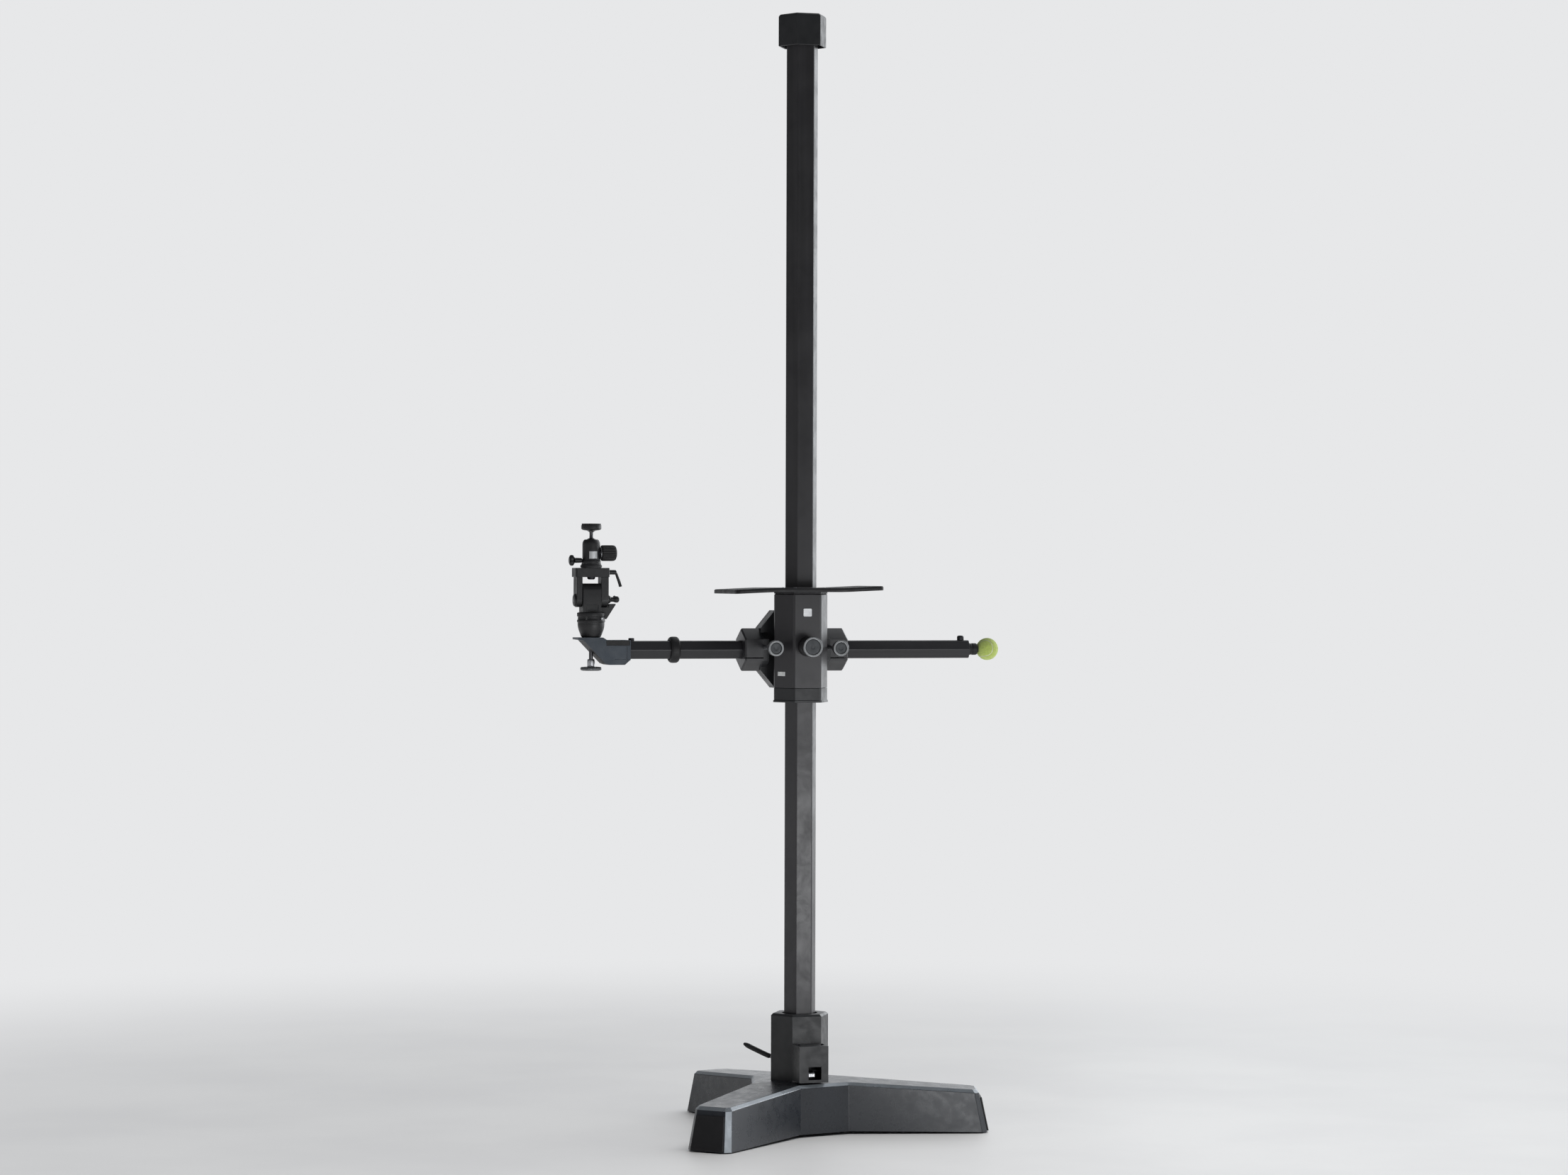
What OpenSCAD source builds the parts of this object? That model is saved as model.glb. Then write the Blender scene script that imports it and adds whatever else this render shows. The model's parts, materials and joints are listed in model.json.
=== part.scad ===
// Studio camera stand: castor base, hexagonal column, counterweighted carriage,
// sliding cross arm, tilt yoke and ball head. Millimetres, +Z up,
// origin on the floor at the column axis, +X along the cross arm.

/* [Column] */
// Height of the top of the column cap above the floor
stand_h = 3220; // [2900:10:3400]
// Size of the column across its flat sides
col_af = 82.3; // [78:0.1:84]
// Wall thickness of the column tube
col_wall = 3.5; // [3:0.5:4]

/* [Base] */
// Length of each leg from the column axis to its foot
leg_len = 540; // [500:5:700]
// Height of the base at the hub
hub_h = 149; // [145:0.1:160]
// Gap between the floor and the underside of the legs
floor_gap = 8; // [7:1:12]

/* [Carriage] */
// Height of the cross arm axis above the floor
arm_z = 1388; // [1000:1:1600]
// Width of the tray along the arm
tray_w = 440; // [340:10:480]
// Depth of the tray
tray_d = 260; // [200:10:320]

/* [Cross arm] */
// Position of the arm's elbow end along X
arm_left = -491; // [-700:1:-470]
// Position of the arm's free end along X
arm_right = 537; // [500:1:800]
// Diameter of the soft end ball
ball_d = 67; // [60:1:70]

/* [Head] */
// Diameter of the camera platform
plate_d = 58; // [50:1:70]

/* [Hidden] */
$fn = 64;
arm_y = 91;
col_r = col_af / sqrt(3);
// From the arm's elbow end to the vertical axis of the head
elbow_reach = 109;

// ---- Shapes: "from" and "to" are the two ends along the named axis ----
module cyl_x(dia, from, to, y = 0, z = 0)
  translate([from, y, z]) rotate([0, 90, 0]) cylinder(d = dia, h = to - from);
module cyl_y(dia, from, to, x = 0, z = 0)
  translate([x, from, z]) rotate([-90, 0, 0]) cylinder(d = dia, h = to - from);
module cyl_z(dia, from, to, x = 0, y = 0)
  translate([x, y, from]) cylinder(d = dia, h = to - from);
module hex_x(radius, from, to, turn, y = 0)
  translate([from, y, 0]) rotate([0, 90, 0]) rotate(turn)
    linear_extrude(to - from) circle(r = radius, $fn = 6);
module hex_z(radius, from, to)
  translate([0, 0, from]) linear_extrude(to - from) circle(r = radius, $fn = 6);
// Six-sided taper
module hex_taper(low_r, high_r, from, height)
  translate([0, 0, from]) cylinder(r1 = low_r, r2 = high_r, h = height, $fn = 6);
// Hexagonal prism whose corners are cut back by "cut" along each side
module cut_hex_z(radius, cut, from, to)
  translate([0, 0, from]) linear_extrude(to - from)
    polygon([for (i = [0:5]) for (side = [-1, 1])
      let (out = i * 60, along = out + side * 120)
      [radius * cos(out) + cut * cos(along), radius * sin(out) + cut * sin(along)]]);
module box(x0, x1, y0, y1, z0, z1)
  translate([x0, y0, z0]) cube([x1 - x0, y1 - y0, z1 - z0]);
// Round bar between two points
module rod(start, end, dia) {
  run = end - start;
  length = norm(run);
  translate(start) rotate([0, acos(run[2] / length), atan2(run[1], run[0])])
    cylinder(d = dia, h = length);
}
module round_rect(width, depth, radius) {
  square([width - 2 * radius, depth], center = true);
  square([width, depth - 2 * radius], center = true);
  for (x = [-1, 1], y = [-1, 1])
    translate([x * (width / 2 - radius), y * (depth / 2 - radius)]) circle(r = radius);
}
// Solid of revolution about X; profile columns: radius, distance along the axis
// (the signs are such that the profile grows toward +X)
module turned_x(profile, x, y = 0, z = 0)
  translate([x, y, z]) rotate([0, 90, 0]) rotate_extrude() polygon(profile);
module turned_z(profile, z)
  translate([0, 0, z]) rotate_extrude() polygon(profile);
// Extrudes an X-Z outline along Y
module extrude_y(from, to)
  translate([0, to, 0]) rotate([90, 0, 0]) linear_extrude(to - from) children();
module three() for (i = [0:2]) rotate(120 * i) children();
// Twelve upright cutters for the grip of a knob
module flutes(radius, dia, height)
  for (turn = [0:30:359])
    rotate(turn) translate([radius, 0, 0]) cylinder(d = dia, h = height, $fn = 24);

// ---- Frames ----
// Column axis at arm height
module on_carriage() translate([0, 0, arm_z]) children();
// Arm axis at X = 0
module on_arm() translate([0, arm_y, arm_z]) children();
// Vertical axis of the head at arm height
module on_head() translate([arm_left - elbow_reach, arm_y, arm_z]) children();

// ---- Base ----
base_turn = -14.6;
leg_start = 138.3;              // from the axis to where the leg tops start to fall
leg_slope = 24.5 / 364.2;
tip_z = floor_gap - 5.5;        // underside at the leg tips
end_setback = 23.5;             // lean of the leg end over its height
shoulder_z = hub_h - 9;         // height at the hub where the top edge is bevelled
hub_bolt_x = 66;
bearing_top = 165;
spindle_d = 50;
collar_top = 335.5;
lever_turn = 150;
lever_z = 213;
pedal_y = -95;
pedal_z = 184;

module legs() rotate(base_turn) three() children();
module hub_bolt_holes(from, to) rotate(60) three() cyl_z(8, from, to, hub_bolt_x);

function spin(point, turn) = [point[0] * cos(turn) - point[1] * sin(turn),
                              point[0] * sin(turn) + point[1] * cos(turn)];
// Plan of one leg along +X, with chamfered end corners
function leg_plan(start, start_half, end, end_half, cut) =
  [[start, -start_half], [end - cut, -end_half], [end, cut - end_half],
   [end, end_half - cut], [end - cut, end_half], [start, start_half]];
// The 18 points of three legs, falling outward from height z
function leg_ring(plan, z, fall) = [for (i = [0:2]) for (point = plan)
  let (turned = spin(point, base_turn + 120 * i))
  [turned[0], turned[1], z - fall * (point[0] - plan[0][0])]];

// Three rings of points: underside, shoulder and top
module base_solid() {
  under = leg_ring(leg_plan(leg_start + 2, 80.8, leg_len, 69.9, 16),
    floor_gap, (floor_gap - tip_z) / (leg_len - leg_start - 2));
  shoulder = leg_ring(leg_plan(leg_start, 79.4, leg_len - end_setback, 58.5, 14),
    shoulder_z, leg_slope);
  top = leg_ring(leg_plan(leg_start - 2.2, 71.4, leg_len - 32.5, 50.5, 10.7),
    hub_h, leg_slope);
  walls = [for (k = [0, 18]) for (i = [0:17]) let (j = (i + 1) % 18)
    each [[k + i, k + 18 + i, k + 18 + j], [k + i, k + 18 + j, k + j]]];
  leg_tops = [for (i = [0, 6, 12]) [for (k = [5:-1:0]) 36 + i + k]];
  leg_bottoms = [for (i = [0, 6, 12]) [for (k = [0:5]) i + k]];
  hub_faces = [[53, 48, 47, 42, 41, 36], [0, 5, 6, 11, 12, 17]];
  polyhedron(points = concat(under, shoulder, top),
    faces = concat(walls, leg_tops, leg_bottoms, hub_faces), convexity = 6);
}
module cavity() {
  three() translate([0, -50]) square([leg_len - 36, 100]);
  polygon([for (i = [0:2]) for (side = [-1, 1]) spin([118, side * 66], 120 * i)]);
}
module base_shell() color("#3b4149") difference() {
  base_solid();
  rotate(base_turn) linear_extrude(100) cavity();
  cyl_z(spindle_d, 90, hub_h + 1);
  hub_bolt_holes(90, hub_h + 1);
}
// Plates lying against the leaning leg ends
module leg_end_plates() color("#4a5058") {
  end_top = shoulder_z - leg_slope * (leg_len - end_setback - leg_start);
  legs() translate([leg_len, 0, tip_z]) rotate([0, -atan(end_setback / (end_top - tip_z)), 0])
    translate([0.04, 0, 0]) rotate([90, 0, 90]) linear_extrude(5)
      polygon([[-52, 3], [52, 3], [44.3, 100], [-44.3, 100]]);
}
module floor_pads() color("#17181a") legs() cyl_z(26, 0.6, tip_z, leg_len - 18);
module base_collar() color("#2c2e31") difference() {
  union() {
    hex_z(85.9, hub_h, collar_top);
    hex_taper(85.9, 79.5, collar_top, 6);
  }
  cyl_z(102, hub_h - 1, 343);
  hub_bolt_holes(hub_h - 1, hub_h + 40);
  rotate(lever_turn) cyl_x(12.1, 40, 80, 0, lever_z);
}
module thrust_bearing() color("#b9bdc2") difference() {
  cyl_z(96, hub_h, bearing_top);
  cyl_z(56, hub_h - 1, bearing_top + 1);
}
module spindle() color("#a8adb3") difference() {
  union() {
    cyl_z(spindle_d, 92, 398);
    cyl_z(90, 84, 99.97);
  }
  cyl_z(20, 80, 400);
}
// Hollow box on the -Y side of the collar, with the pedal's pivot pin
module pedal_housing() color("#26282b") {
  cyl_x(8, -39, 39, pedal_y, pedal_z);
  difference() {
    box(-43, 43, -148, -74.41, 155, 259);
    box(-38, 38, -143, -79.4, 160, 254);
    box(-16, 22, -149, -142, 163, 200);
  }
}
module lift_pedal() color("#d0d2d4") difference() {
  union() {
    box(-14, 4, -142, -99, 180, 188);
    cyl_x(18, -14, 4, pedal_y, pedal_z);
  }
  cyl_x(8.1, -15, 5, pedal_y, pedal_z);
}
module foot_lever() color("#1d1e20") rotate(lever_turn) {
  bend = [94, 0, lever_z];
  rod([52.5, 0, lever_z], bend, 12);
  rod(bend, [168, 0, 247], 12);
  translate(bend) sphere(d = 16);
}

// ---- Castors ----
castor_x = 440;                 // swivel axis along the leg
castor_turns = [35, 205, 120];
trail = 18;                     // from the swivel axis to the axle
axle_z = 25;
axle_d = 8;

module at_castor(i)
  rotate(base_turn - 120 * i) translate([castor_x, 0, 0]) rotate(castor_turns[i]) children();
// Top plate and swivel pin under each leg
module castor_mounts() color("#9aa0a6") legs() translate([castor_x, 0, 0]) difference() {
  union() {
    translate([0, 0, 94]) linear_extrude(5.97) round_rect(70, 70, 6);
    cyl_z(10, 62, 94);
    cyl_z(17, 57, 62);
  }
  for (x = [-27, 27], y = [-27, 27]) cyl_z(7, 93, 101, x, y);
}
module fork() {
  difference() {
    union() {
      cyl_z(30, 62, 92);
      translate([9, 0, 64]) linear_extrude(3) round_rect(48, 30, 6);
      for (side = [-1, 1])
        translate([trail, side * 13.5, 0]) rotate([90, 0, 0]) linear_extrude(3, center = true)
          polygon([[-8, 17], [8, 17], [12, 67], [-16, 67]]);
    }
    cyl_z(10.1, 60, 93);
    cyl_z(18, 56, 64.5);
  }
  cyl_y(axle_d, -16.5, 16.5, trail, axle_z);
}
// Wheel with a ring recess in each face
module wheel() difference() {
  union() {
    cyl_y(50, -9, 9, trail, axle_z);
    cyl_y(18, -11.5, 11.5, trail, axle_z);
  }
  cyl_y(axle_d + 0.1, -12, 12, trail, axle_z);
  for (side = [-1, 1])
    translate([trail, side * 11, axle_z]) rotate([90, 0, 0]) difference() {
      cylinder(d = 36, h = 10, center = true);
      cylinder(d = 20, h = 12, center = true);
    }
}
module castor_fork_1() color("#aeb3b8") at_castor(0) fork();
module castor_fork_2() color("#aeb3b8") at_castor(1) fork();
module castor_fork_3() color("#aeb3b8") at_castor(2) fork();
module castor_wheel_1() color("#1a1b1c") at_castor(0) wheel();
module castor_wheel_2() color("#1a1b1c") at_castor(1) wheel();
module castor_wheel_3() color("#1a1b1c") at_castor(2) wheel();

// ---- Column ----
col_foot = bearing_top + 10;
col_top = stand_h - 75;
cap_z = stand_h - 92;
taper_z = stand_h - 6;
bush_d = col_af - 2 * col_wall - 0.1;
cable_d = 3;
cable_r = 25;                   // radius of the cable's path over the pulley
pulley_y = cable_r;             // hangs the inner cable on the column axis
pulley_z = stand_h - 44;
cable_rear_y = pulley_y + cable_r;
cable_anchor = 175;             // cable end above the arm axis
weight_z = stand_h - arm_z + 126; // rises as the carriage is lowered
weight_top = weight_z + 302;

module column_tube() color("#303033") difference() {
  cut_hex_z(col_r, 3.5, col_foot, col_top);
  cut_hex_z(col_r - col_wall * 2 / sqrt(3), 2.5, col_foot - 1, col_top + 1);
}
// Flanged bush at the foot and a plain one above it
module column_bushes() color("#b08d57") {
  difference() {
    union() {
      cyl_z(94, bearing_top, col_foot);
      cyl_z(bush_d, col_foot, 218);
    }
    cyl_z(spindle_d + 0.1, bearing_top - 1, 219);
  }
  difference() {
    cyl_z(bush_d, 352, 392);
    cyl_z(spindle_d + 0.1, 351, 393);
  }
}
module top_cap() color("#2a2b2e") difference() {
  union() {
    hex_z(71.7, cap_z, taper_z);
    hex_taper(71.7, 66, taper_z, 6);
  }
  hex_z(67, cap_z - 1, stand_h - 10);
}
module pulley_bracket() color("#6d7176") {
  cyl_x(8, -13, 13, pulley_y, pulley_z);
  difference() {
    union() {
      hex_z(66.9, col_top, col_top + 5);
      for (x = [-9, 9]) box(x - 3, x + 3, 5, 45, col_top + 5, pulley_z + 14);
    }
    box(-5, 5, -8, 54.5, col_top - 1, col_top + 6);
  }
}
module cable_pulley() color("#83878c")
  turned_x([[4.05, -5.5], [12, -5.5], [12, -4], [27.6, -4], [27.6, -3.2], [23.4, -2],
    [23.4, 2], [27.6, 3.2], [27.6, 4], [12, 4], [12, 5.5], [4.05, 5.5]],
    0, pulley_y, pulley_z);
module cable_wrap() color("#8d9196")
  translate([0, pulley_y, pulley_z]) rotate([90, 0, 90])
    rotate_extrude(angle = 180) translate([cable_r, 0]) circle(d = cable_d, $fn = 24);
module cable_rear() color("#8d9196")
  cyl_z(cable_d, arm_z + cable_anchor, pulley_z, 0, cable_rear_y);
module cable_inner() color("#8d9196") cyl_z(cable_d, weight_top, pulley_z);
module counterweight() color("#54585d") {
  cut_hex_z(40, 4, weight_z, weight_z + 290);
  cyl_z(14, weight_z + 289, weight_top);
}

// ---- Carriage: heights are from the arm axis ----
arm_r = 30;                     // arm tube, centre to corner
shell_r = 81;
shell_low = -108;
shell_top = 160;
plate_z = 163;
tray_z = 172;
tray_screw_x = 70;
brake_z = 11;
clamp_x = 97;
clamp_z = 7;
clamp_d = 12;
collar_r = 62;
collar_x = 101;                 // joint between the cross block and each collar
collar_end = 151;

module arm_bore(from, to, gap = 0.3) hex_x(arm_r + gap, from, to, 30, arm_y);
module at_bolts() for (x = [-33.6, 33.6], z = [-78, 82]) translate([x, 0, z]) children();
module tray_screw_holes(from, to) three() cyl_z(5.2, from, to, tray_screw_x);

// Hexagonal sleeve, with the cable's anchor stud on top
module carriage_shell() color("#2b2c2f") on_carriage() {
  cyl_z(8, 162, cable_anchor, 0, cable_rear_y);
  difference() {
    union() {
      cut_hex_z(shell_r, 4, shell_low, shell_top);
      hex_taper(79, 76.5, shell_top, 3);
    }
    hex_z(52, shell_low - 1, shell_top + 4);
    arm_bore(-90, 90, 1);
    cyl_y(16.1, -80, -40, 0, brake_z);
    at_bolts() cyl_y(8, 50, 71);
  }
}
module carriage_skirt() color("#242528") on_carriage() difference() {
  union() {
    cut_hex_z(shell_r, 4, -144, shell_low - 1);
    cut_hex_z(83.5, 4, -150, -144);
  }
  hex_z(50.5, -151, shell_low + 1);
}
module glide_liners() color("#d9d6cc") on_carriage() for (z = [-104, 127]) difference() {
  hex_z(51.95, z, z + 32);
  hex_z(col_r + 0.35, z - 1, z + 33);
}
module brake_shoe() color("#7a5a3a") on_carriage()
  box(-14, 14, -44.8, -col_af / 2 - 0.2, -8, 30);
// Eight-sided block on the +Y side of the shell, carrying the arm
module cross_block() color("#313236") on_carriage() difference() {
  union() {
    extrude_y(70.15, 127)
      polygon([[-58, 114], [-100, 63], [-101, -59], [-57, -111],
        [57, -111], [101, -59], [100, 63], [58, 114]]);
    hex_x(collar_r, -collar_x, -84, 0, arm_y);
    hex_x(collar_r, 84, collar_x, 0, arm_y);
  }
  arm_bore(-120, 120);
  for (x = [-clamp_x, clamp_x]) cyl_y(clamp_d + 0.1, 30, arm_y, x, clamp_z);
  at_bolts() cyl_y(8, 69, 128);
}
// Cross block bolts and tray screws
module carriage_bolts() color("#c0c3c7") on_carriage() {
  at_bolts() {
    cyl_y(8, 52, 127);
    cyl_y(13, 127, 135);
  }
  three() {
    cyl_z(5, plate_z, 177.1, tray_screw_x);
    cyl_z(9, 177.04, 179.9, tray_screw_x);
  }
}
// Split hexagonal collar at the +X end of the cross block
module collar() difference() {
  union() {
    hex_x(collar_r, collar_x, collar_end, 0, arm_y);
    translate([collar_end, arm_y, 0]) rotate([0, 90, 0]) hex_taper(collar_r, 58, 0, 4);
  }
  arm_bore(100, 156);
  box(100, 156, arm_y - 60, arm_y - 20, -24.5, -22);
  cyl_y(clamp_d + 0.1, 30, arm_y, clamp_x, clamp_z);
}
module arm_collar_right() color("#37383b") on_carriage() collar();
module arm_collar_left() color("#37383b") on_carriage() mirror([1, 0, 0]) collar();

// Tray outline drawn in by "inset", with a hexagonal opening
module tray_outline(inset, opening_r) difference() {
  translate([-7, 0]) round_rect(tray_w - 2 * inset, tray_d - 2 * inset, 14 - inset);
  circle(r = opening_r, $fn = 6);
}
// Hollow from below, except around the opening
module tray() color("#232427") on_carriage() difference() {
  translate([0, 0, tray_z]) linear_extrude(8) tray_outline(0, 64);
  translate([0, 0, tray_z - 1]) linear_extrude(7) tray_outline(3, 84);
  tray_screw_holes(tray_z - 1, 181);
  three() cyl_z(9.2, 177, 181, tray_screw_x);
}
module tray_plate() color("#1f2022") on_carriage() difference() {
  hex_z(80, plate_z, tray_z);
  hex_z(64, plate_z - 1, tray_z + 1);
  tray_screw_holes(plate_z - 1, tray_z + 1);
}

// Fluted ring about an axis along Y
module ring_knob(dia, bore, from, to, x, z) difference() {
  depth = to - from;
  translate([x, to, z]) rotate([90, 0, 0]) rotate_extrude()
    polygon([[bore / 2, 0], [dia / 2 - 2.5, 0], [dia / 2, 2.5], [dia / 2, depth - 3],
      [dia / 2 - 3, depth], [bore / 2, depth]]);
  translate([x, from - 1, z]) rotate([-90, 0, 0]) flutes(dia / 2 + 2.2, 8, depth + 2);
}
module brake_knob() color("#7b7d80") on_carriage() {
  ring_knob(58, 42, -129, -104, 0, brake_z);
  cyl_y(42, -108, -104, 0, brake_z);
  cyl_y(54, -105, -73, 0, brake_z);
  cyl_y(16, -73, -45.1, 0, brake_z);
}
module brake_knob_insert() color("#3c3d40") on_carriage()
  cyl_y(41.9, -125, -108.01, 0, brake_z);
module clamp_knob() {
  ring_knob(47, 33, -85, -66, clamp_x, clamp_z);
  cyl_y(36, -68, -50, clamp_x, clamp_z);
  cyl_y(clamp_d, -50, 58, clamp_x, clamp_z);
  cyl_y(22, -50, -30, clamp_x, clamp_z);
}
module clamp_insert() cyl_y(32.9, -82, -68.01, clamp_x, clamp_z);
module clamp_left_knob() color("#7b7d80") on_carriage() mirror([1, 0, 0]) clamp_knob();
module clamp_left_insert() color("#3c3d40") on_carriage() mirror([1, 0, 0]) clamp_insert();
module clamp_right_knob() color("#7b7d80") on_carriage() clamp_knob();
module clamp_right_insert() color("#3c3d40") on_carriage() clamp_insert();

// ---- Cross arm: measured from the arm axis ----
arm_bore_r = 26.5;
spigot_r = arm_bore_r - 0.1;
spigot_len = 40;
left_screw = 10;                // screw distances from the arm's ends
right_screw = 21;
ball_x = arm_right + 28.4;      // start of the end ball
ring_x = arm_left + 122;

module arm_tube() color("#3c3c3f") on_arm() difference() {
  hex_x(arm_r, arm_left, arm_right, 30);
  hex_x(arm_bore_r, arm_left - 1, arm_right + 1, 30);
  for (x = [arm_left + left_screw, arm_right - right_screw]) cyl_z(8, 12, 32, x);
}
module stop_ring() color("#141516") on_arm() difference() {
  turned_x([[20, 0], [33, 0], [36.5, 2], [38, 6], [38, 21], [36.5, 25], [33, 27], [20, 27]],
    ring_x);
  hex_x(arm_r + 0.02, ring_x - 1, ring_x + 28, 30);
}
module end_plug() color("#2a2b2d") on_arm() difference() {
  union() {
    hex_x(spigot_r, arm_right - spigot_len, arm_right, 30);
    cyl_x(34.5, arm_right, ball_x);
    cyl_x(19.9, arm_right + 28, arm_right + 51);
  }
  cyl_z(6, 12, 32, arm_right - right_screw);
}
// Hollow ball, flattened and bored where it meets the plug
module end_ball() color("#c8d573") on_arm() difference() {
  centre = [ball_x + ball_d / 2, 0, 0];
  translate(centre) sphere(d = ball_d);
  translate(centre) sphere(d = ball_d - 7);
  box(arm_right + 23, ball_x + 1, -41, 39, -28, 32);
  cyl_x(20, arm_right + 23, arm_right + 38);
}
module arm_screw(head_d, head_top, x) {
  cyl_z(head_d, 25.99, head_top, x);
  cyl_z(6, 12, 26, x);
}
module arm_screws() color("#1e1f21") on_arm() {
  arm_screw(17, 34, arm_left + left_screw);
  arm_screw(20, 40, arm_right - right_screw);
}

// ---- Elbow and head: measured from the head's vertical axis at arm height ----
elbow_top = 36;
pan_top = 107;
pan_screw_x = 26;
pan_screw_z = 90;
tilt_z = 145;
tilt_d = 16;
yoke_web_z = 209;
yoke_top = 235.5;
ratchet_z = 223;
housing_z = 248;
pan_knob_z = 257;
lock_z = 278;
ball_z = 302;
ball_r = 20;
platform_z = 340;

module elbow_block() color("#464b52") on_head() difference() {
  union() {
    extrude_y(-35, 35)
      polygon([[-46, elbow_top], [28, elbow_top], [34, 28.5], [elbow_reach, 28.5],
        [elbow_reach, -28], [105, -31], [92, -42.5], [45, -42.5], [33, -38],
        [-30, 28], [-46, 30]]);
    hex_x(spigot_r, elbow_reach, elbow_reach + spigot_len, 30);
  }
  cyl_z(12.1, -48, 37);
  cyl_z(6, 12, 32, elbow_reach + left_screw);
  box(55, 110, -36, -33.5, -8, -5);
}
module elbow_knob() color("#6f7276") on_head() {
  cyl_z(12, -49, 35.5);
  cyl_z(21.6, -48, -26);
  difference() {
    turned_z([[0, 0], [28, 0], [30.5, 2.5], [30.5, 9.3], [28, 11.8], [0, 11.8]], -59.5);
    translate([0, 0, -61]) flutes(32.5, 7, 15);
  }
}
// Round base, ridged block and a sloping lug on the +X side
module pan_body() color("#232427") on_head() difference() {
  union() {
    cyl_z(58, elbow_top, 43);
    translate([0, 0, 43]) cylinder(d1 = 60, d2 = 76, h = 26);
    cyl_z(77, 69, 97);
    cyl_z(81, 81, 87);
    cyl_z(81, 97, pan_top);
    box(-29.5, 24.5, -26, 26, pan_top, 172);
    translate([-29.5, 0, 172]) rotate([90, 0, 90]) linear_extrude(54)
      polygon([[-26, 0], [26, 0], [14, 19], [-14, 19]]);
    extrude_y(-14, 14)
      polygon([[15, 88], [43, 88], [70, 132.5], [49, 132.5], [49, 121], [15, 121]]);
  }
  cyl_x(tilt_d + 0.1, -40, 40, 0, tilt_z);
  cyl_y(9, -41, -15, pan_screw_x, pan_screw_z);
}
module tilt_shaft() color("#8e9297") on_head() {
  cyl_x(tilt_d, -47, 47, 0, tilt_z);
  cyl_x(36, -52, -47.1, 0, tilt_z - 2);
}
module pan_screw() color("#d5d7da") on_head() cyl_y(9, -33, -15, pan_screw_x, pan_screw_z);
module stub_lever() color("#1b1c1e") on_head() {
  cyl_x(24, 47.1, 55, 0, tilt_z);
  cyl_x(18, 55, 82, 0, tilt_z);
  rod([76.5, 0, tilt_z], [76.5, 38, tilt_z + 8], 8);
}
module tilt_yoke() color("#26272a") on_head() difference() {
  union() {
    for (cheek = [[-47, -30], [25, 47]]) {
      box(cheek[0], cheek[1], -22, 22, tilt_z, yoke_web_z);
      cyl_x(44, cheek[0], cheek[1], 0, tilt_z);
    }
    box(-51.5, 49, -28, 28, yoke_web_z, yoke_top);
  }
  cyl_x(tilt_d + 0.1, -60, 60, 0, tilt_z);
  cyl_z(10, 202, 236);
  cyl_x(8.1, 30, 50, 0, ratchet_z);
}
module ratchet_handle() color("#1b1c1e") on_head() {
  tip = [85, 0, 184];
  cyl_x(8, 36, 49.1, 0, ratchet_z);
  cyl_x(15, 49.1, 74, 0, ratchet_z);
  rod([71, 0, ratchet_z], tip, 8.5);
  translate(tip) sphere(d = 11);
}
// Two discs, with the bolt that passes through the yoke
module ballhead_base() color("#202124") on_head() {
  cyl_z(9.9, yoke_web_z, 236);
  translate([0, 0, yoke_web_z - 7]) cylinder(d = 22, h = 7, $fn = 6);
  cyl_z(62, yoke_top, 244);
  cyl_z(59, 244, housing_z);
}
module ballhead_housing() color("#2a2b2e") on_head() difference() {
  turned_z([[0, 0], [27.5, 0], [27.5, 8], [25.5, 10], [25.5, 60], [23.5, 66],
    [19.5, 69.5], [0, 69.5]], housing_z);
  translate([0, 0, ball_z]) sphere(r = ball_r + 0.05);
  cyl_z(33, 312, 322);
  cyl_x(12.1, 12, 40, 0, lock_z);
  cyl_x(8.1, -40, -16, 0, pan_knob_z);
}
module lock_knob() color("#17181a") on_head() difference() {
  union() {
    cyl_x(12, 14, 27.5, 0, lock_z);
    turned_x([[0, 0], [20, 0], [23, 4], [23, 36], [20, 43], [14, 46.5], [0, 46.5]],
      27.5, 0, lock_z);
  }
  for (turn = [0:40:359])
    translate([40, 0, lock_z]) rotate([turn, 0, 0]) translate([0, 0, 25.5])
      rotate([0, 90, 0]) cylinder(d = 9, h = 40, $fn = 24);
}
module pan_knob() color("#17181a") on_head() {
  cyl_x(8, -47, -17, 0, pan_knob_z);
  turned_x([[0, 0], [12.5, 0], [15, 3], [15, 15], [12.5, 18], [0, 18]], -65, 0, pan_knob_z);
}
module ball_stem() color("#b9bdc2") on_head() {
  translate([0, 0, ball_z]) sphere(r = ball_r);
  cyl_z(10.5, 320, platform_z);
}
module camera_platform() color("#242528") on_head() difference() {
  rim = plate_d / 2;
  turned_z([[0, 0], [rim - 6, 0], [rim, 5], [rim, 21.5], [rim - 1, 22.5], [0, 22.5]],
    platform_z);
  cyl_z(9.5, platform_z + 5, 364);
}

base_shell();
leg_end_plates();
floor_pads();
castor_mounts();
base_collar();
thrust_bearing();
spindle();
pedal_housing();
castor_fork_1();
castor_fork_2();
castor_fork_3();
castor_wheel_1();
castor_wheel_2();
castor_wheel_3();
lift_pedal();
foot_lever();
column_tube();
column_bushes();
top_cap();
pulley_bracket();
cable_wrap();
cable_rear();
cable_inner();
cable_pulley();
counterweight();
carriage_shell();
carriage_skirt();
glide_liners();
brake_shoe();
cross_block();
carriage_bolts();
arm_collar_left();
arm_collar_right();
tray();
tray_plate();
brake_knob();
brake_knob_insert();
clamp_left_knob();
clamp_left_insert();
clamp_right_knob();
clamp_right_insert();
arm_tube();
stop_ring();
end_plug();
end_ball();
arm_screws();
elbow_block();
elbow_knob();
pan_body();
tilt_shaft();
pan_screw();
stub_lever();
tilt_yoke();
ratchet_handle();
ballhead_base();
ballhead_housing();
lock_knob();
pan_knob();
ball_stem();
camera_platform();
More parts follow.
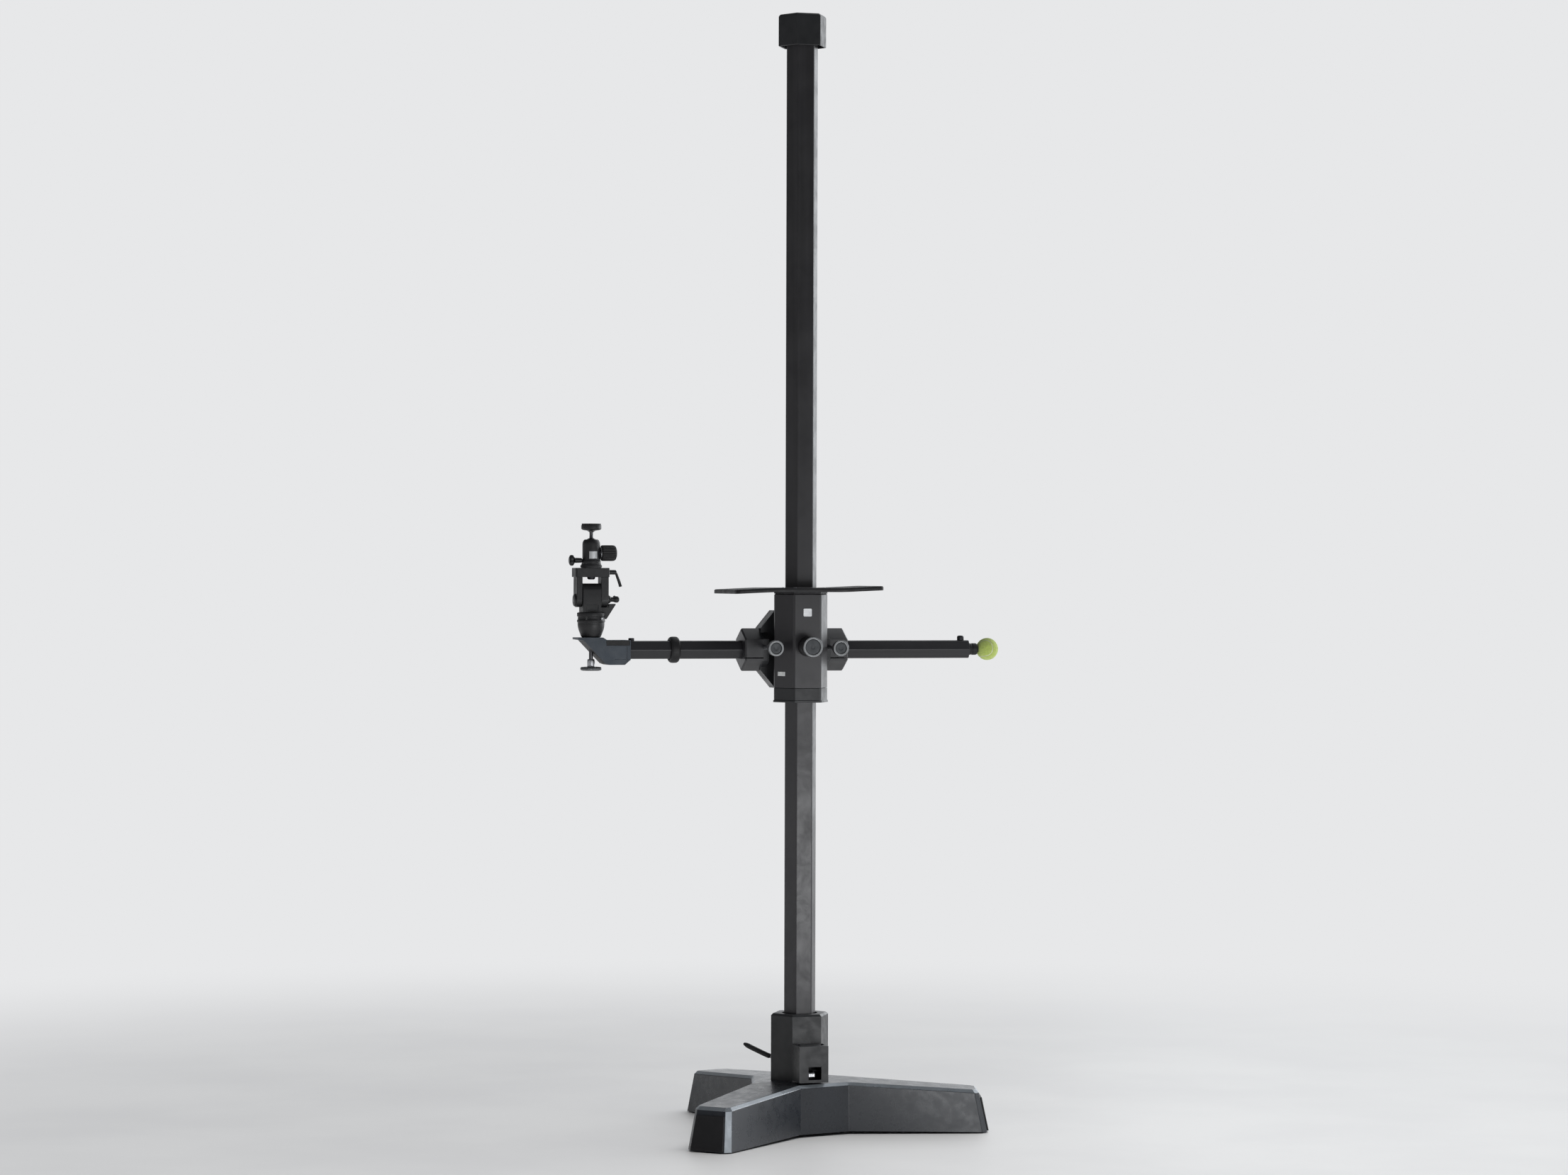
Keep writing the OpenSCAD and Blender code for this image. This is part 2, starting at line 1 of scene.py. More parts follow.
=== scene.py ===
"""A camera stand on castors: a three-legged base, a hexagonal column, a carriage hung on a
cable, a cross arm with a felt ball on its right end, and a pan-tilt head under a ball head.

The column stands on the Z axis, the floor is z = 0, the arm runs along X with the head
at its -X end, and the hand knobs face the front, -Y. Lengths are in mm unless stated.
"""
import bpy
import bmesh
import json
import random
from math import atan, atan2, copysign, cos, dist, floor, pi, radians, sin, sqrt
from mathutils import Vector, Matrix, kdtree, noise


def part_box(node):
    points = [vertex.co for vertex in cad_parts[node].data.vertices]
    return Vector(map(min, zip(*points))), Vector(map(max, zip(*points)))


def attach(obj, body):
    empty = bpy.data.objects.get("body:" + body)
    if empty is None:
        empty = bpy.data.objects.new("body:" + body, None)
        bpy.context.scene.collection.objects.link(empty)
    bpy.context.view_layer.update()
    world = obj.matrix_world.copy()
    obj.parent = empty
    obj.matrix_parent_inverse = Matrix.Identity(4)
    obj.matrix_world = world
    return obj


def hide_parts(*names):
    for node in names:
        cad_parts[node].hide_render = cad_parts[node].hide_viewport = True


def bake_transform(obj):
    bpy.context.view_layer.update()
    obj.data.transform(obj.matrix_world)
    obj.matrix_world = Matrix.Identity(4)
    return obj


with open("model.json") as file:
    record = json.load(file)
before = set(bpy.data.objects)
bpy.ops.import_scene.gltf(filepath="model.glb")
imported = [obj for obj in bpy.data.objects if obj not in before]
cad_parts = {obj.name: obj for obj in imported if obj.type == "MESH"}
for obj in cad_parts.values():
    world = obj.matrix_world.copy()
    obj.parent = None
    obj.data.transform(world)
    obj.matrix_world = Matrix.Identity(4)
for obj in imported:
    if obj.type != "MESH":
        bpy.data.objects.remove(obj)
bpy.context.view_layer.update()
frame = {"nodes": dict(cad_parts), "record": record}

MM = 0.001
NODES = frame["nodes"]
SLOT_OF = {s["node"]: s["material_slot"] for s in frame["record"]["subparts"]}
AXES = {"X": (1, 0, 0), "Y": (0, 1, 0), "Z": (0, 0, 1)}
MATERIALS = {}
finished = {"lift_pedal"}  # CAD pieces the last sweep leaves alone
rng = random.Random(7)


def span(node):
    """Lowest and highest corner of a CAD piece."""
    low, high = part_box(node)
    return low * 1000, high * 1000


def centre(node):
    low, high = span(node)
    return (low + high) / 2


# ------------------------------------------------------------------ node graphs
class Graph:
    """Writes shader nodes into a tree. Textures are scaled in metres."""

    def __init__(self, owner):
        owner.use_nodes = True
        self.tree = owner.node_tree
        self.tree.nodes.clear()

    def node(self, kind, **settings):
        node = self.tree.nodes.new(kind)
        for key, value in settings.items():
            setattr(node, key, value)
        return node

    def put(self, socket, value):
        """Links a socket or sets a value; a colour of three gets its alpha."""
        if isinstance(value, bpy.types.NodeSocket):
            self.tree.links.new(value, socket)
        elif isinstance(value, tuple) and len(value) == 3 and socket.type == "RGBA":
            socket.default_value = (*value, 1)
        else:
            socket.default_value = value

    def math(self, operation, a, b=0.0, clamp=False):
        node = self.node("ShaderNodeMath", operation=operation, use_clamp=clamp)
        self.put(node.inputs[0], a)
        self.put(node.inputs[1], b)
        return node.outputs[0]

    def times(self, a, b, clamp=False):
        return self.math("MULTIPLY", a, b, clamp)

    def plus(self, a, b):
        return self.math("ADD", a, b)

    def radial(self, a, b):
        return self.math("SQRT", self.plus(self.times(a, a), self.times(b, b)))

    def dot(self, a, b):
        node = self.node("ShaderNodeVectorMath", operation="DOT_PRODUCT")
        self.put(node.inputs[0], a)
        self.put(node.inputs[1], b)
        return node.outputs["Value"]

    def split(self, vector):
        node = self.node("ShaderNodeSeparateXYZ")
        self.put(node.inputs[0], vector)
        return node.outputs

    def ramp(self, value, at, to=(0.0, 1.0)):
        """A smooth step between the two levels of at, mapped to the two of to."""
        node = self.node("ShaderNodeMapRange", interpolation_type="SMOOTHSTEP")
        self.put(node.inputs[0], value)
        for i, level in enumerate((*at, *to)):
            node.inputs[i + 1].default_value = level
        return node.outputs[0]

    def mix_shader(self, factor, a, b):
        node = self.node("ShaderNodeMixShader")
        for i, value in enumerate((factor, a, b)):
            self.put(node.inputs[i], value)
        return node.outputs[0]


class Material(Graph):
    """A graph round one Principled shader, entered in MATERIALS."""

    def __init__(self, name):
        MATERIALS[name] = bpy.data.materials.new(name)
        super().__init__(MATERIALS[name])
        self.output = self.node("ShaderNodeOutputMaterial").inputs[0]
        self.shader = self.node("ShaderNodeBsdfPrincipled")
        self.put(self.output, self.shader.outputs[0])
        self.coords = self.node("ShaderNodeTexCoord").outputs["Object"]

    def surface(self, **inputs):
        """base_color=... sets the shader's input "Base Color", and so on."""
        for key, value in inputs.items():
            title = key.replace("_", " ").title().replace("Ior", "IOR")
            self.put(self.shader.inputs[title], value)

    def mapped(self, **inputs):
        node = self.node("ShaderNodeMapping")
        self.put(node.inputs["Vector"], self.coords)
        for key, value in inputs.items():
            node.inputs[key.title()].default_value = value
        return node.outputs[0]

    def noise(self, scale=1.0, detail=4, rough=0.55, vector=None, distortion=0.0):
        node = self.node("ShaderNodeTexNoise")
        self.put(node.inputs["Vector"], vector or self.coords)
        node.inputs["Scale"].default_value = scale
        node.inputs["Detail"].default_value = detail
        node.inputs["Roughness"].default_value = rough
        node.inputs["Distortion"].default_value = distortion
        return node.outputs["Fac"]

    def patches(self, at, to=(0.0, 1.0), **texture):
        return self.ramp(self.noise(**texture), at, to)

    def cells(self, scale):
        node = self.node("ShaderNodeTexVoronoi")
        self.put(node.inputs["Vector"], self.coords)
        node.inputs["Scale"].default_value = scale
        return node.outputs["Distance"]

    def mix(self, factor, a, b):
        node = self.node("ShaderNodeMix", data_type="RGBA")
        self.put(node.inputs["Factor"], factor)
        self.put(node.inputs[6], a)
        self.put(node.inputs[7], b)
        return node.outputs[2]

    def bump(self, height, strength, distance, normal=None):
        node = self.node("ShaderNodeBump")
        node.inputs["Strength"].default_value = strength
        node.inputs["Distance"].default_value = distance
        self.put(node.inputs["Height"], height)
        if normal is not None:
            self.put(node.inputs["Normal"], normal)
        return node.outputs[0]

    def edge(self, radius):
        """1 on corners, 0 on flats."""
        bevel = self.node("ShaderNodeBevel", samples=6)
        bevel.inputs["Radius"].default_value = radius
        normal = self.node("ShaderNodeNewGeometry").outputs["Normal"]
        return self.ramp(self.dot(bevel.outputs[0], normal), at=(0.995, 0.86))

    def facing_up(self):
        normal = self.node("ShaderNodeNewGeometry").outputs["Normal"]
        return self.ramp(self.split(normal)[2], at=(0.6, 0.98))


def tint(color, factor):
    return tuple(min(1.0, c * factor) for c in color)


# ------------------------------------------------------------------ materials
def paint(name, color, rough=0.42, mottle=0.12, peel=0.25, peel_scale=420, wear=0.5,
          wear_color=(0.34, 0.36, 0.39), dust_and_sheen=0.25, metal=0.0, coat=0.0):
    """Paint with orange peel, worn corners, and dust on top that also serves as a painted sheen
    on upward faces.
    """
    mat = Material(name)
    col = mat.mix(mat.patches(scale=9, detail=5, rough=0.6, at=(0.3, 0.7)),
                  tint(color, 1 - mottle), tint(color, 1 + mottle))
    specks = mat.patches(scale=160, rough=0.6, at=(0.55, 0.75))
    col = mat.mix(mat.times(specks, 0.25), col, tint(color, 1.5))
    chips = mat.patches(scale=70, detail=6, rough=0.7, at=(0.42, 0.62))
    worn = mat.times(mat.edge(radius=0.0016), mat.times(chips, wear), clamp=True)
    col = mat.mix(worn, col, wear_color)
    # dust on upward faces, lighter grey; it also stands in for the sheen on the tops: a painted
    # highlight
    drifts = mat.patches(scale=22, detail=6, rough=0.65, at=(0.3, 0.75))
    dusty = mat.times(mat.facing_up(), mat.times(drifts, dust_and_sheen), clamp=True)
    col = mat.mix(dusty, col, (0.46, 0.46, 0.45))
    gloss = mat.patches(scale=35, detail=5, rough=0.6, at=(0.3, 0.7),
                        to=(rough - 0.07, rough + 0.08))
    orange_peel = mat.bump(mat.noise(scale=peel_scale, detail=3, rough=0.5),
                           strength=peel, distance=0.0004)
    mat.surface(
        base_color=col, roughness=mat.plus(gloss, mat.times(dusty, 0.35)),
        metallic=metal, coat_weight=coat, coat_roughness=0.22,
        normal=mat.bump(mat.noise(scale=2600, detail=2, rough=0.5),
                        strength=0.12, distance=0.00012, normal=orange_peel))


def anodised(name, color, axis, floor_reflection_fade=False):
    """Black anodised extrusion: fine lines along an axis (0, 1 or 2). A fade over z makes it
    lighter low down: a painted reflection of the bright floor.
    """
    mat = Material(name)

    def drawn(across, along, **texture):
        scale = [across] * 3
        scale[axis] = along
        return mat.noise(vector=mat.mapped(scale=scale), **texture)

    lines = drawn(900.0, 6.0, detail=5, rough=0.7)
    bands = mat.ramp(drawn(60.0, 1.2, detail=3, rough=0.5), at=(0.35, 0.65))
    if floor_reflection_fade:
        low = mat.ramp(mat.split(mat.coords)[2], at=(2.9, 0.3))  # heights in metres; lighter towards the floor: a painted reflection of the bright floor
        col = mat.mix(low, tint(color, 0.55), tint(color, 1.35))
        col = mat.mix(mat.times(bands, 0.5), col, tint(color, 1.1))
    else:
        col = mat.mix(bands, tint(color, 0.85), tint(color, 1.15))
    col = mat.mix(mat.times(mat.ramp(lines, at=(0.55, 0.8)), 0.35), col, tint(color, 1.9))
    rubbed = mat.ramp(drawn(315.0, 2.1, rough=0.6), at=(0.6, 0.8))
    col = mat.mix(mat.times(rubbed, 0.22), col, tint(color, 2.3))
    chips = mat.patches(scale=55, detail=6, rough=0.75, at=(0.4, 0.62))
    worn = mat.times(mat.edge(radius=0.0013), mat.times(chips, 0.45), clamp=True)
    smudges = mat.patches(scale=14, detail=6, rough=0.7, distortion=0.4,
                          at=(0.3, 0.75), to=(0.33 - 0.07, 0.33 + 0.1))
    waves = mat.bump(mat.noise(scale=18, detail=2), strength=0.04, distance=0.0006)
    mat.surface(
        base_color=mat.mix(worn, col, (0.4, 0.41, 0.43)),
        roughness=mat.plus(smudges, mat.times(lines, 0.06)), specular_ior_level=0.55,
        normal=mat.bump(lines, strength=0.22, distance=0.00006, normal=waves))


def metal(name, color, rough, scale=500, stretch=0.06, wear=0.2, dirt=0.25):
    """Bare metal; a stretch below 1 brushes it along z."""
    mat = Material(name)
    lines = mat.noise(vector=mat.mapped(scale=(scale, scale, scale * stretch)), rough=0.65)
    stain = mat.noise(scale=60, detail=6, rough=0.7)
    col = mat.mix(mat.ramp(lines, at=(0.3, 0.7)), tint(color, 0.82), tint(color, 1.1))
    col = mat.mix(mat.times(mat.ramp(stain, at=(0.5, 0.75)), dirt), col, tint(color, 0.35))
    col = mat.mix(mat.times(mat.edge(radius=0.0009), wear), col, tint(color, 1.35))
    gloss = mat.ramp(stain, at=(0.3, 0.7), to=(rough - 0.06, rough + 0.14))
    mat.surface(base_color=col, metallic=1.0,
                roughness=mat.plus(gloss, mat.times(lines, 0.08)),
                normal=mat.bump(lines, strength=0.18, distance=0.00005))


def rubbery(name, color, rough, grain=700, depth=0.3, wear=0.25):
    """Rubber or plastic with a moulded grain."""
    mat = Material(name)
    pores = mat.noise(scale=grain, detail=5, rough=0.6)
    cells = mat.cells(scale=grain * 1.2)
    col = mat.mix(mat.patches(scale=28, detail=5, rough=0.6, at=(0.35, 0.7)),
                  tint(color, 0.85), tint(color, 1.3))
    col = mat.mix(mat.times(mat.edge(radius=0.0012), wear), col, tint(color, 3.2))
    drifts = mat.patches(scale=40, detail=5, at=(0.4, 0.7))
    dusty = mat.times(mat.facing_up(), mat.times(drifts, 0.2))
    mat.surface(
        base_color=mat.mix(dusty, col, (0.35, 0.35, 0.34)),
        roughness=mat.ramp(pores, at=(0.3, 0.7), to=(rough - 0.08, rough + 0.12)),
        normal=mat.bump(mat.plus(pores, mat.times(cells, 0.5)),
                        strength=depth, distance=0.00025))


def felt(name, color):
    mat = Material(name)
    nap = mat.noise(scale=520, detail=8, rough=0.75, distortion=1.2)
    clumps = mat.patches(scale=130, detail=6, rough=0.7, distortion=0.8, at=(0.3, 0.7))
    slanted = mat.mapped(scale=(240, 1700, 900), rotation=(0.6, 0.3, 0.9))
    fibres = mat.noise(detail=5, rough=0.7, vector=slanted)
    col = mat.mix(clumps, tint(color, 0.9), tint(color, 1.14))
    col = mat.mix(mat.times(mat.ramp(nap, at=(0.45, 0.75)), 0.45), col, (0.9, 0.95, 0.62))
    col = mat.mix(mat.times(mat.ramp(fibres, at=(0.6, 0.8)), 0.4), col, (0.93, 0.96, 0.72))
    mat.surface(
        base_color=col, roughness=0.95, specular_ior_level=0.15,
        sheen_weight=0.8, sheen_roughness=0.5, sheen_tint=(0.93, 1.0, 0.7),
        subsurface_weight=0.08, subsurface_radius=(0.004, 0.004, 0.002),
        normal=mat.bump(mat.plus(nap, fibres), strength=0.8, distance=0.0009))


def turned(name, color, axis, at, rough, metallic=1.0):
    """Lathe rings round an axis (0, 1 or 2) through a point. Returns the name."""
    mat = Material(name)
    xyz = mat.split(mat.mapped(location=tuple(-c * MM for c in at)))
    a, b = [xyz[k] for k in range(3) if k != axis]
    fineness = 2700.0  # rings per metre, roughly
    polar = mat.node("ShaderNodeCombineXYZ")
    mat.put(polar.inputs[0], mat.times(mat.radial(a, b), fineness))
    mat.put(polar.inputs[1], mat.times(xyz[axis], fineness))
    rings = mat.noise(rough=0.7, vector=polar.outputs[0])
    stain = mat.noise(scale=75, detail=6, rough=0.7)
    col = mat.mix(mat.ramp(rings, at=(0.3, 0.7)), tint(color, 0.85), tint(color, 1.12))
    col = mat.mix(mat.times(mat.ramp(stain, at=(0.52, 0.75)), 0.3), col, tint(color, 0.5))
    col = mat.mix(mat.times(mat.edge(radius=0.0008), 0.35), col, tint(color, 1.5))
    mat.surface(base_color=col, metallic=metallic,
                roughness=mat.ramp(stain, at=(0.3, 0.7), to=(rough - 0.05, rough + 0.12)),
                normal=mat.bump(rings, strength=0.25, distance=0.00005))
    return name


paint("base_paint", (0.026, 0.030, 0.037), rough=0.3, peel=0.05, peel_scale=150, wear=0.45,
      dust_and_sheen=0.09, mottle=0.1, coat=0.2)
# a lighter copy of the base paint for the chamfers: a painted highlight
paint("base_edge_highlight", (0.27, 0.295, 0.32), rough=0.32, peel=0.05, peel_scale=200, wear=0.3,
      wear_color=(0.45, 0.48, 0.5), dust_and_sheen=0.2, metal=0.35)
paint("collar_black", (0.017, 0.018, 0.020), rough=0.4, wear=0.45, dust_and_sheen=0.15, peel_scale=500)
paint("casting_black", (0.014, 0.0135, 0.015), rough=0.46, peel=0.4, peel_scale=330, wear=0.3,
      wear_color=(0.2, 0.19, 0.2), dust_and_sheen=0.12)
# the column is painted lighter towards the floor: a painted reflection
anodised("column_black", (0.030, 0.029, 0.032), axis=2, floor_reflection_fade=True)
anodised("arm_black", (0.024, 0.024, 0.027), axis=0)
paint("tray_black", (0.008, 0.0075, 0.009), rough=0.55, peel=0.3, peel_scale=700, dust_and_sheen=0.08)
paint("elbow_grey", (0.036, 0.050, 0.068), wear=0.6, peel_scale=450, dust_and_sheen=0.15)
paint("head_black", (0.012, 0.012, 0.0135), rough=0.44, peel=0.55, peel_scale=900, wear=0.35,
      dust_and_sheen=0.1)
metal("steel", (0.52, 0.53, 0.55), rough=0.32)
metal("bright_steel", (0.72, 0.73, 0.75), rough=0.16, dirt=0.12)
metal("dark_steel", (0.10, 0.10, 0.105), rough=0.34, wear=0.4)
metal("dark_screw", (0.05, 0.05, 0.055), rough=0.38, scale=900, stretch=1, wear=0.6)
metal("zinc", (0.5, 0.52, 0.55), rough=0.38, scale=260, stretch=1)
metal("pulley_alu", (0.55, 0.56, 0.58), rough=0.3)
metal("cable_steel", (0.4, 0.41, 0.42), rough=0.4)
metal("bronze", (0.52, 0.35, 0.16), rough=0.34)
metal("weight_iron", (0.12, 0.12, 0.125), rough=0.6, scale=300, stretch=1)
metal("label_silver", (0.66, 0.67, 0.68), rough=0.36, scale=1400, dirt=0.1)
rubbery("tyre_black", (0.022, 0.022, 0.024), rough=0.6)
rubbery("rubber_black", (0.011, 0.011, 0.012), rough=0.55)
rubbery("plastic_black", (0.013, 0.013, 0.0145), rough=0.42, grain=1200, depth=0.16)
rubbery("knob_insert", (0.055, 0.056, 0.060), rough=0.5, grain=1500, depth=0.14, wear=0.5)
rubbery("liner", (0.7, 0.68, 0.62), rough=0.45, grain=900, depth=0.1, wear=0.0)
rubbery("brake_lining", (0.18, 0.1, 0.06), rough=0.8, grain=600, depth=0.5, wear=0.0)
rubbery("label_white", (0.72, 0.73, 0.72), rough=0.4, grain=900, depth=0.06, wear=0.0)
felt("felt", (0.58, 0.72, 0.16))
paint("knob_grey", (0.16, 0.165, 0.175), rough=0.34, peel=0.1, dust_and_sheen=0.05, metal=0.6)


# ------------------------------------------------------------------ mesh tools
def shade(mesh, sharp=35.0):
    for face in mesh.polygons:
        face.use_smooth = True
    mesh.set_sharp_from_angle(angle=radians(sharp))


def finish(obj, material, bevel=0.0, seg=3, angle=30.0, sharp=35.0, weld=False):
    """Gives a mesh its material, shading and bevel. CAD meshes are welded first."""
    obj.data.materials.clear()
    obj.data.materials.append(MATERIALS[material])
    if weld:
        obj.modifiers.new("weld", "WELD").merge_threshold = 2e-6
        planar = obj.modifiers.new("planar", "DECIMATE")
        planar.decimate_type = "DISSOLVE"
        planar.angle_limit = radians(0.6)
    else:
        shade(obj.data, sharp)
    if bevel:
        mod = obj.modifiers.new("bevel", "BEVEL")
        mod.width = bevel * MM
        mod.segments = seg
        mod.limit_method = "ANGLE"
        mod.angle_limit = radians(angle)
        mod.use_clamp_overlap = True
        mod.miter_outer = "MITER_ARC"
    if bevel or weld:
        normals = obj.modifiers.new("smooth", "WEIGHTED_NORMAL")
        normals.keep_sharp = True
        normals.weight = 70


def cad(node, bevel=0.6, seg=2):
    """Keeps a CAD piece, with a bevel."""
    finish(NODES[node], SLOT_OF[node], bevel, seg, weld=True)
    finished.add(node)


def link(name, mesh):
    obj = bpy.data.objects.new(name, mesh)
    bpy.context.scene.collection.objects.link(obj)
    return obj


def plain(name, verts, faces, merge=False):
    """An object from vertices in mm, its normals turned outward."""
    mesh = bpy.data.meshes.new(name)
    mesh.from_pydata([tuple(c * MM for c in v) for v in verts], [], faces)
    bm = bmesh.new()
    bm.from_mesh(mesh)
    if merge:
        bmesh.ops.remove_doubles(bm, verts=bm.verts, dist=1e-7)
    bmesh.ops.recalc_face_normals(bm, faces=bm.faces)
    bm.to_mesh(mesh)
    bm.free()
    return link(name, mesh)


def part(name, verts, faces, material, body, replaces=None, slot=None, **finishing):
    """A finished piece that rides on a body and may stand in for a CAD piece."""
    obj = plain(name, verts, faces, merge=True)
    finish(obj, material, **finishing)
    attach(obj, body)
    if replaces:
        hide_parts(replaces)
    return obj


def band(a, b, n):
    """Quads between two rings of n vertices that start at a and b."""
    return [(a + i, a + (i + 1) % n, b + (i + 1) % n, b + i) for i in range(n)]


def closed_faces(n):
    return band(0, n, n) + [tuple(range(n)), tuple(range(n, 2 * n))]


SLAB_FACES = [(0, 1, 2, 3), (4, 5, 6, 7)] + band(0, 4, 4)


def frame_of(axis):
    """Two unit vectors across an axis, and its own; an axis is a letter or a tuple."""
    along = Vector(AXES.get(axis, axis)).normalized()
    guide = Vector((0, 0, 1)) if abs(along.z) < 0.9 else Vector((1, 0, 0))
    side = guide.cross(along).normalized()
    return side, along.cross(side), along


def around(side, other, angle):
    return side * cos(angle) + other * sin(angle)


def rounded(profile, size, steps):
    """Rounds the inner corners of a profile, keeping its first and last points."""
    out = [profile[0]]
    for before, corner, after in zip(profile, profile[1:], profile[2:]):
        tip = Vector(corner)
        back, on = Vector(before) - tip, Vector(after) - tip
        reach = min(size, back.length * 0.48, on.length * 0.48)
        if reach < 0.05:
            out.append(corner)
            continue
        start, end = tip + back.normalized() * reach, tip + on.normalized() * reach
        for i in range(steps + 1):
            t = i / steps
            point = start * (1 - t) ** 2 + tip * 2 * t * (1 - t) + end * t * t
            out.append((point.x, point.y))
    out.append(profile[-1])
    return out


def revolve(name, profile, at, axis, material, body, n=None, fillet=None, ribs=None,
            **finishing):
    """Turns a profile of (radius, height along the axis) round the axis through at.

    fillet is (size, steps). ribs is (count, depth, radius beyond which they show).
    A profile with neither end on the axis is joined into a loop.
    """
    if fillet:
        profile = rounded(profile, *fillet)
    if ribs:
        count, depth, ribbed_from = ribs
        finishing["sharp"] = 50
    n = n or (240 if ribs else 96)
    side, other, along = frame_of(axis)
    at = Vector(at)
    verts, rows, faces = [], [], []
    for radius, height in profile:
        if radius < 1e-6:
            rows.append([len(verts)])
            verts.append(at + along * height)
            continue
        rows.append(list(range(len(verts), len(verts) + n)))
        for i in range(n):
            t = 2 * pi * i / n
            cut_in = 0
            if ribs and radius > ribbed_from:
                cut_in = depth * (0.5 + 0.5 * cos(count * t))
            verts.append(at + along * height + around(side, other, t) * (radius - cut_in))
    loop = len(rows[0]) > 1 and len(rows[-1]) > 1
    for p, q in list(zip(rows, rows[1:])) + ([(rows[-1], rows[0])] if loop else []):
        if len(p) == 1:
            faces += [(p[0], q[i], q[(i + 1) % n]) for i in range(n)]
        elif len(q) == 1:
            faces += [(p[i], p[(i + 1) % n], q[0]) for i in range(n)]
        else:
            faces += band(p[0], q[0], n)
    return part(name, verts, faces, material, body, **finishing)


def prism(name, outline, axis, start, end, material, body, hole=None, **finishing):
    """Extrudes an outline along X, Y or Z; its points are the other two coordinates
    in order. A hole has as many points as the outline."""
    def place(points):
        k = "XYZ".index(axis)
        return [(*p[:k], h, *p[k:]) for h in (start, end) for p in points]
    n = len(outline)
    verts = place(outline)
    if hole:
        verts += place(hole)
        walls = zip(band(2 * n, 3 * n, n), band(0, 2 * n, n), band(n, 3 * n, n))
        faces = band(0, n, n) + [face for trio in walls for face in trio]
    else:
        faces = closed_faces(n)
    return part(name, verts, faces, material, body, **finishing)


def shifted(points, dx, dy):
    return [(x + dx, y + dy) for x, y in points]


def hexagon(radius, chamfer):
    """A hexagon with a corner on +x, and its corners cut off."""
    out = []
    for i in range(6):
        for sign in (-1, 1):
            a = radians(i * 60)
            b = a + sign * radians(120)
            out.append((radius * cos(a) + chamfer * cos(b), radius * sin(a) + chamfer * sin(b)))
    return out


def round_rect(half_x, half_y, radius, steps):
    out = []
    for sx, sy, start in ((1, 1, 0), (-1, 1, 90), (-1, -1, 180), (1, -1, 270)):
        for i in range(steps + 1):
            a = radians(start + 90 * i / steps)
            out.append((sx * (half_x - radius) + radius * cos(a),
                        sy * (half_y - radius) + radius * sin(a)))
    return out


def smooth_path(points, steps=6):
    """Catmull-Rom curve through the points."""
    P = [Vector(p) for p in points]
    P = [2 * P[0] - P[1]] + P + [2 * P[-1] - P[-2]]
    out = []
    for a, b, c, d in zip(P, P[1:], P[2:], P[3:]):
        for s in range(steps):
            t = s / steps
            out.append(0.5 * ((2 * b) + (c - a) * t + (2 * a - 5 * b + 4 * c - d) * t * t
                              + (3 * b - a - 3 * c + d) * t ** 3))
    out.append(P[-2])
    return out


def pipe(name, path, radii, body, n, **finishing):
    """A round black plastic bar along a path, with a radius at each point."""
    verts, faces = [], []
    side = None
    for i, p in enumerate(path):
        along = (path[min(i + 1, len(path) - 1)] - path[max(i - 1, 0)]).normalized()
        if side is None:
            side, other, _ = frame_of(tuple(along))
        else:
            side = (side - along * side.dot(along)).normalized()
            other = along.cross(side)
        verts += [p + around(side, other, 2 * pi * k / n) * radii[i] for k in range(n)]
    last = (len(path) - 1) * n
    for start in range(0, last, n):
        faces += band(start, start + n, n)
    faces += [tuple(range(n)), tuple(range(last, last + n))]
    return part(name, verts, faces, "plastic_black", body, **finishing)


def cut(obj, *cutters):
    """Cuts the cutters out of a piece for good, and removes them."""
    for mod in obj.modifiers:
        mod.show_viewport = False
    for cutter in cutters:
        mod = obj.modifiers.new("cut", "BOOLEAN")
        mod.operation = "DIFFERENCE"
        mod.solver = "EXACT"
        mod.object = cutter
    bpy.context.view_layer.update()
    graph = bpy.context.evaluated_depsgraph_get()
    mesh = bpy.data.meshes.new_from_object(obj.evaluated_get(graph), depsgraph=graph)
    for mod in [m for m in obj.modifiers if m.type == "BOOLEAN"]:
        obj.modifiers.remove(mod)
    obj.data = mesh
    shade(mesh)
    for mod in obj.modifiers:
        mod.show_viewport = True
    for cutter in cutters:
        bpy.data.objects.remove(cutter)


def box_cutter(x0, x1, y0, y1, z0, z1):
    verts = [(x, y, z) for x in (x0, x1) for y in (y0, y1) for z in (z0, z1)]
    return plain("cutter", verts, [(0, 1, 3, 2), (4, 6, 7, 5), (0, 4, 5, 1),
                                   (2, 3, 7, 6), (0, 2, 6, 4), (1, 5, 7, 3)])


def drill(at, axis, radius, end, start=0, n=48):
    """A cylinder cutter from start to end along the axis from at."""
    side, other, along = frame_of(axis)
    at = Vector(at)
    verts = [at + along * z + around(side, other, 2 * pi * i / n) * radius
             for z in (start, end) for i in range(n)]
    return plain("cutter", verts, closed_faces(n))


def socket_head(name, at, axis, radius, height, body, material="dark_screw"):
    """A cap screw's head with a hexagon recess, rising from at along the axis."""
    r, h = radius, height
    obj = revolve(name, [(0, 0), (r, 0), (r, h * 0.86), (r * 0.88, h), (0, h)],
                  at, axis, material, body, n=40, fillet=(r * 0.12, 4))
    cut(obj, drill(at, axis, r * 0.5, end=h * 1.2, start=h * 0.45, n=6))


# ------------------------------------------------------------------ anchors
arm_centre = centre("arm_tube")
arm_y, arm_z = arm_centre.y, arm_centre.z
platform_centre = centre("camera_platform")
head_x, head_y = platform_centre.x, platform_centre.y
shell_low, shell_high = span("carriage_shell")
carriage_front = shell_low.y

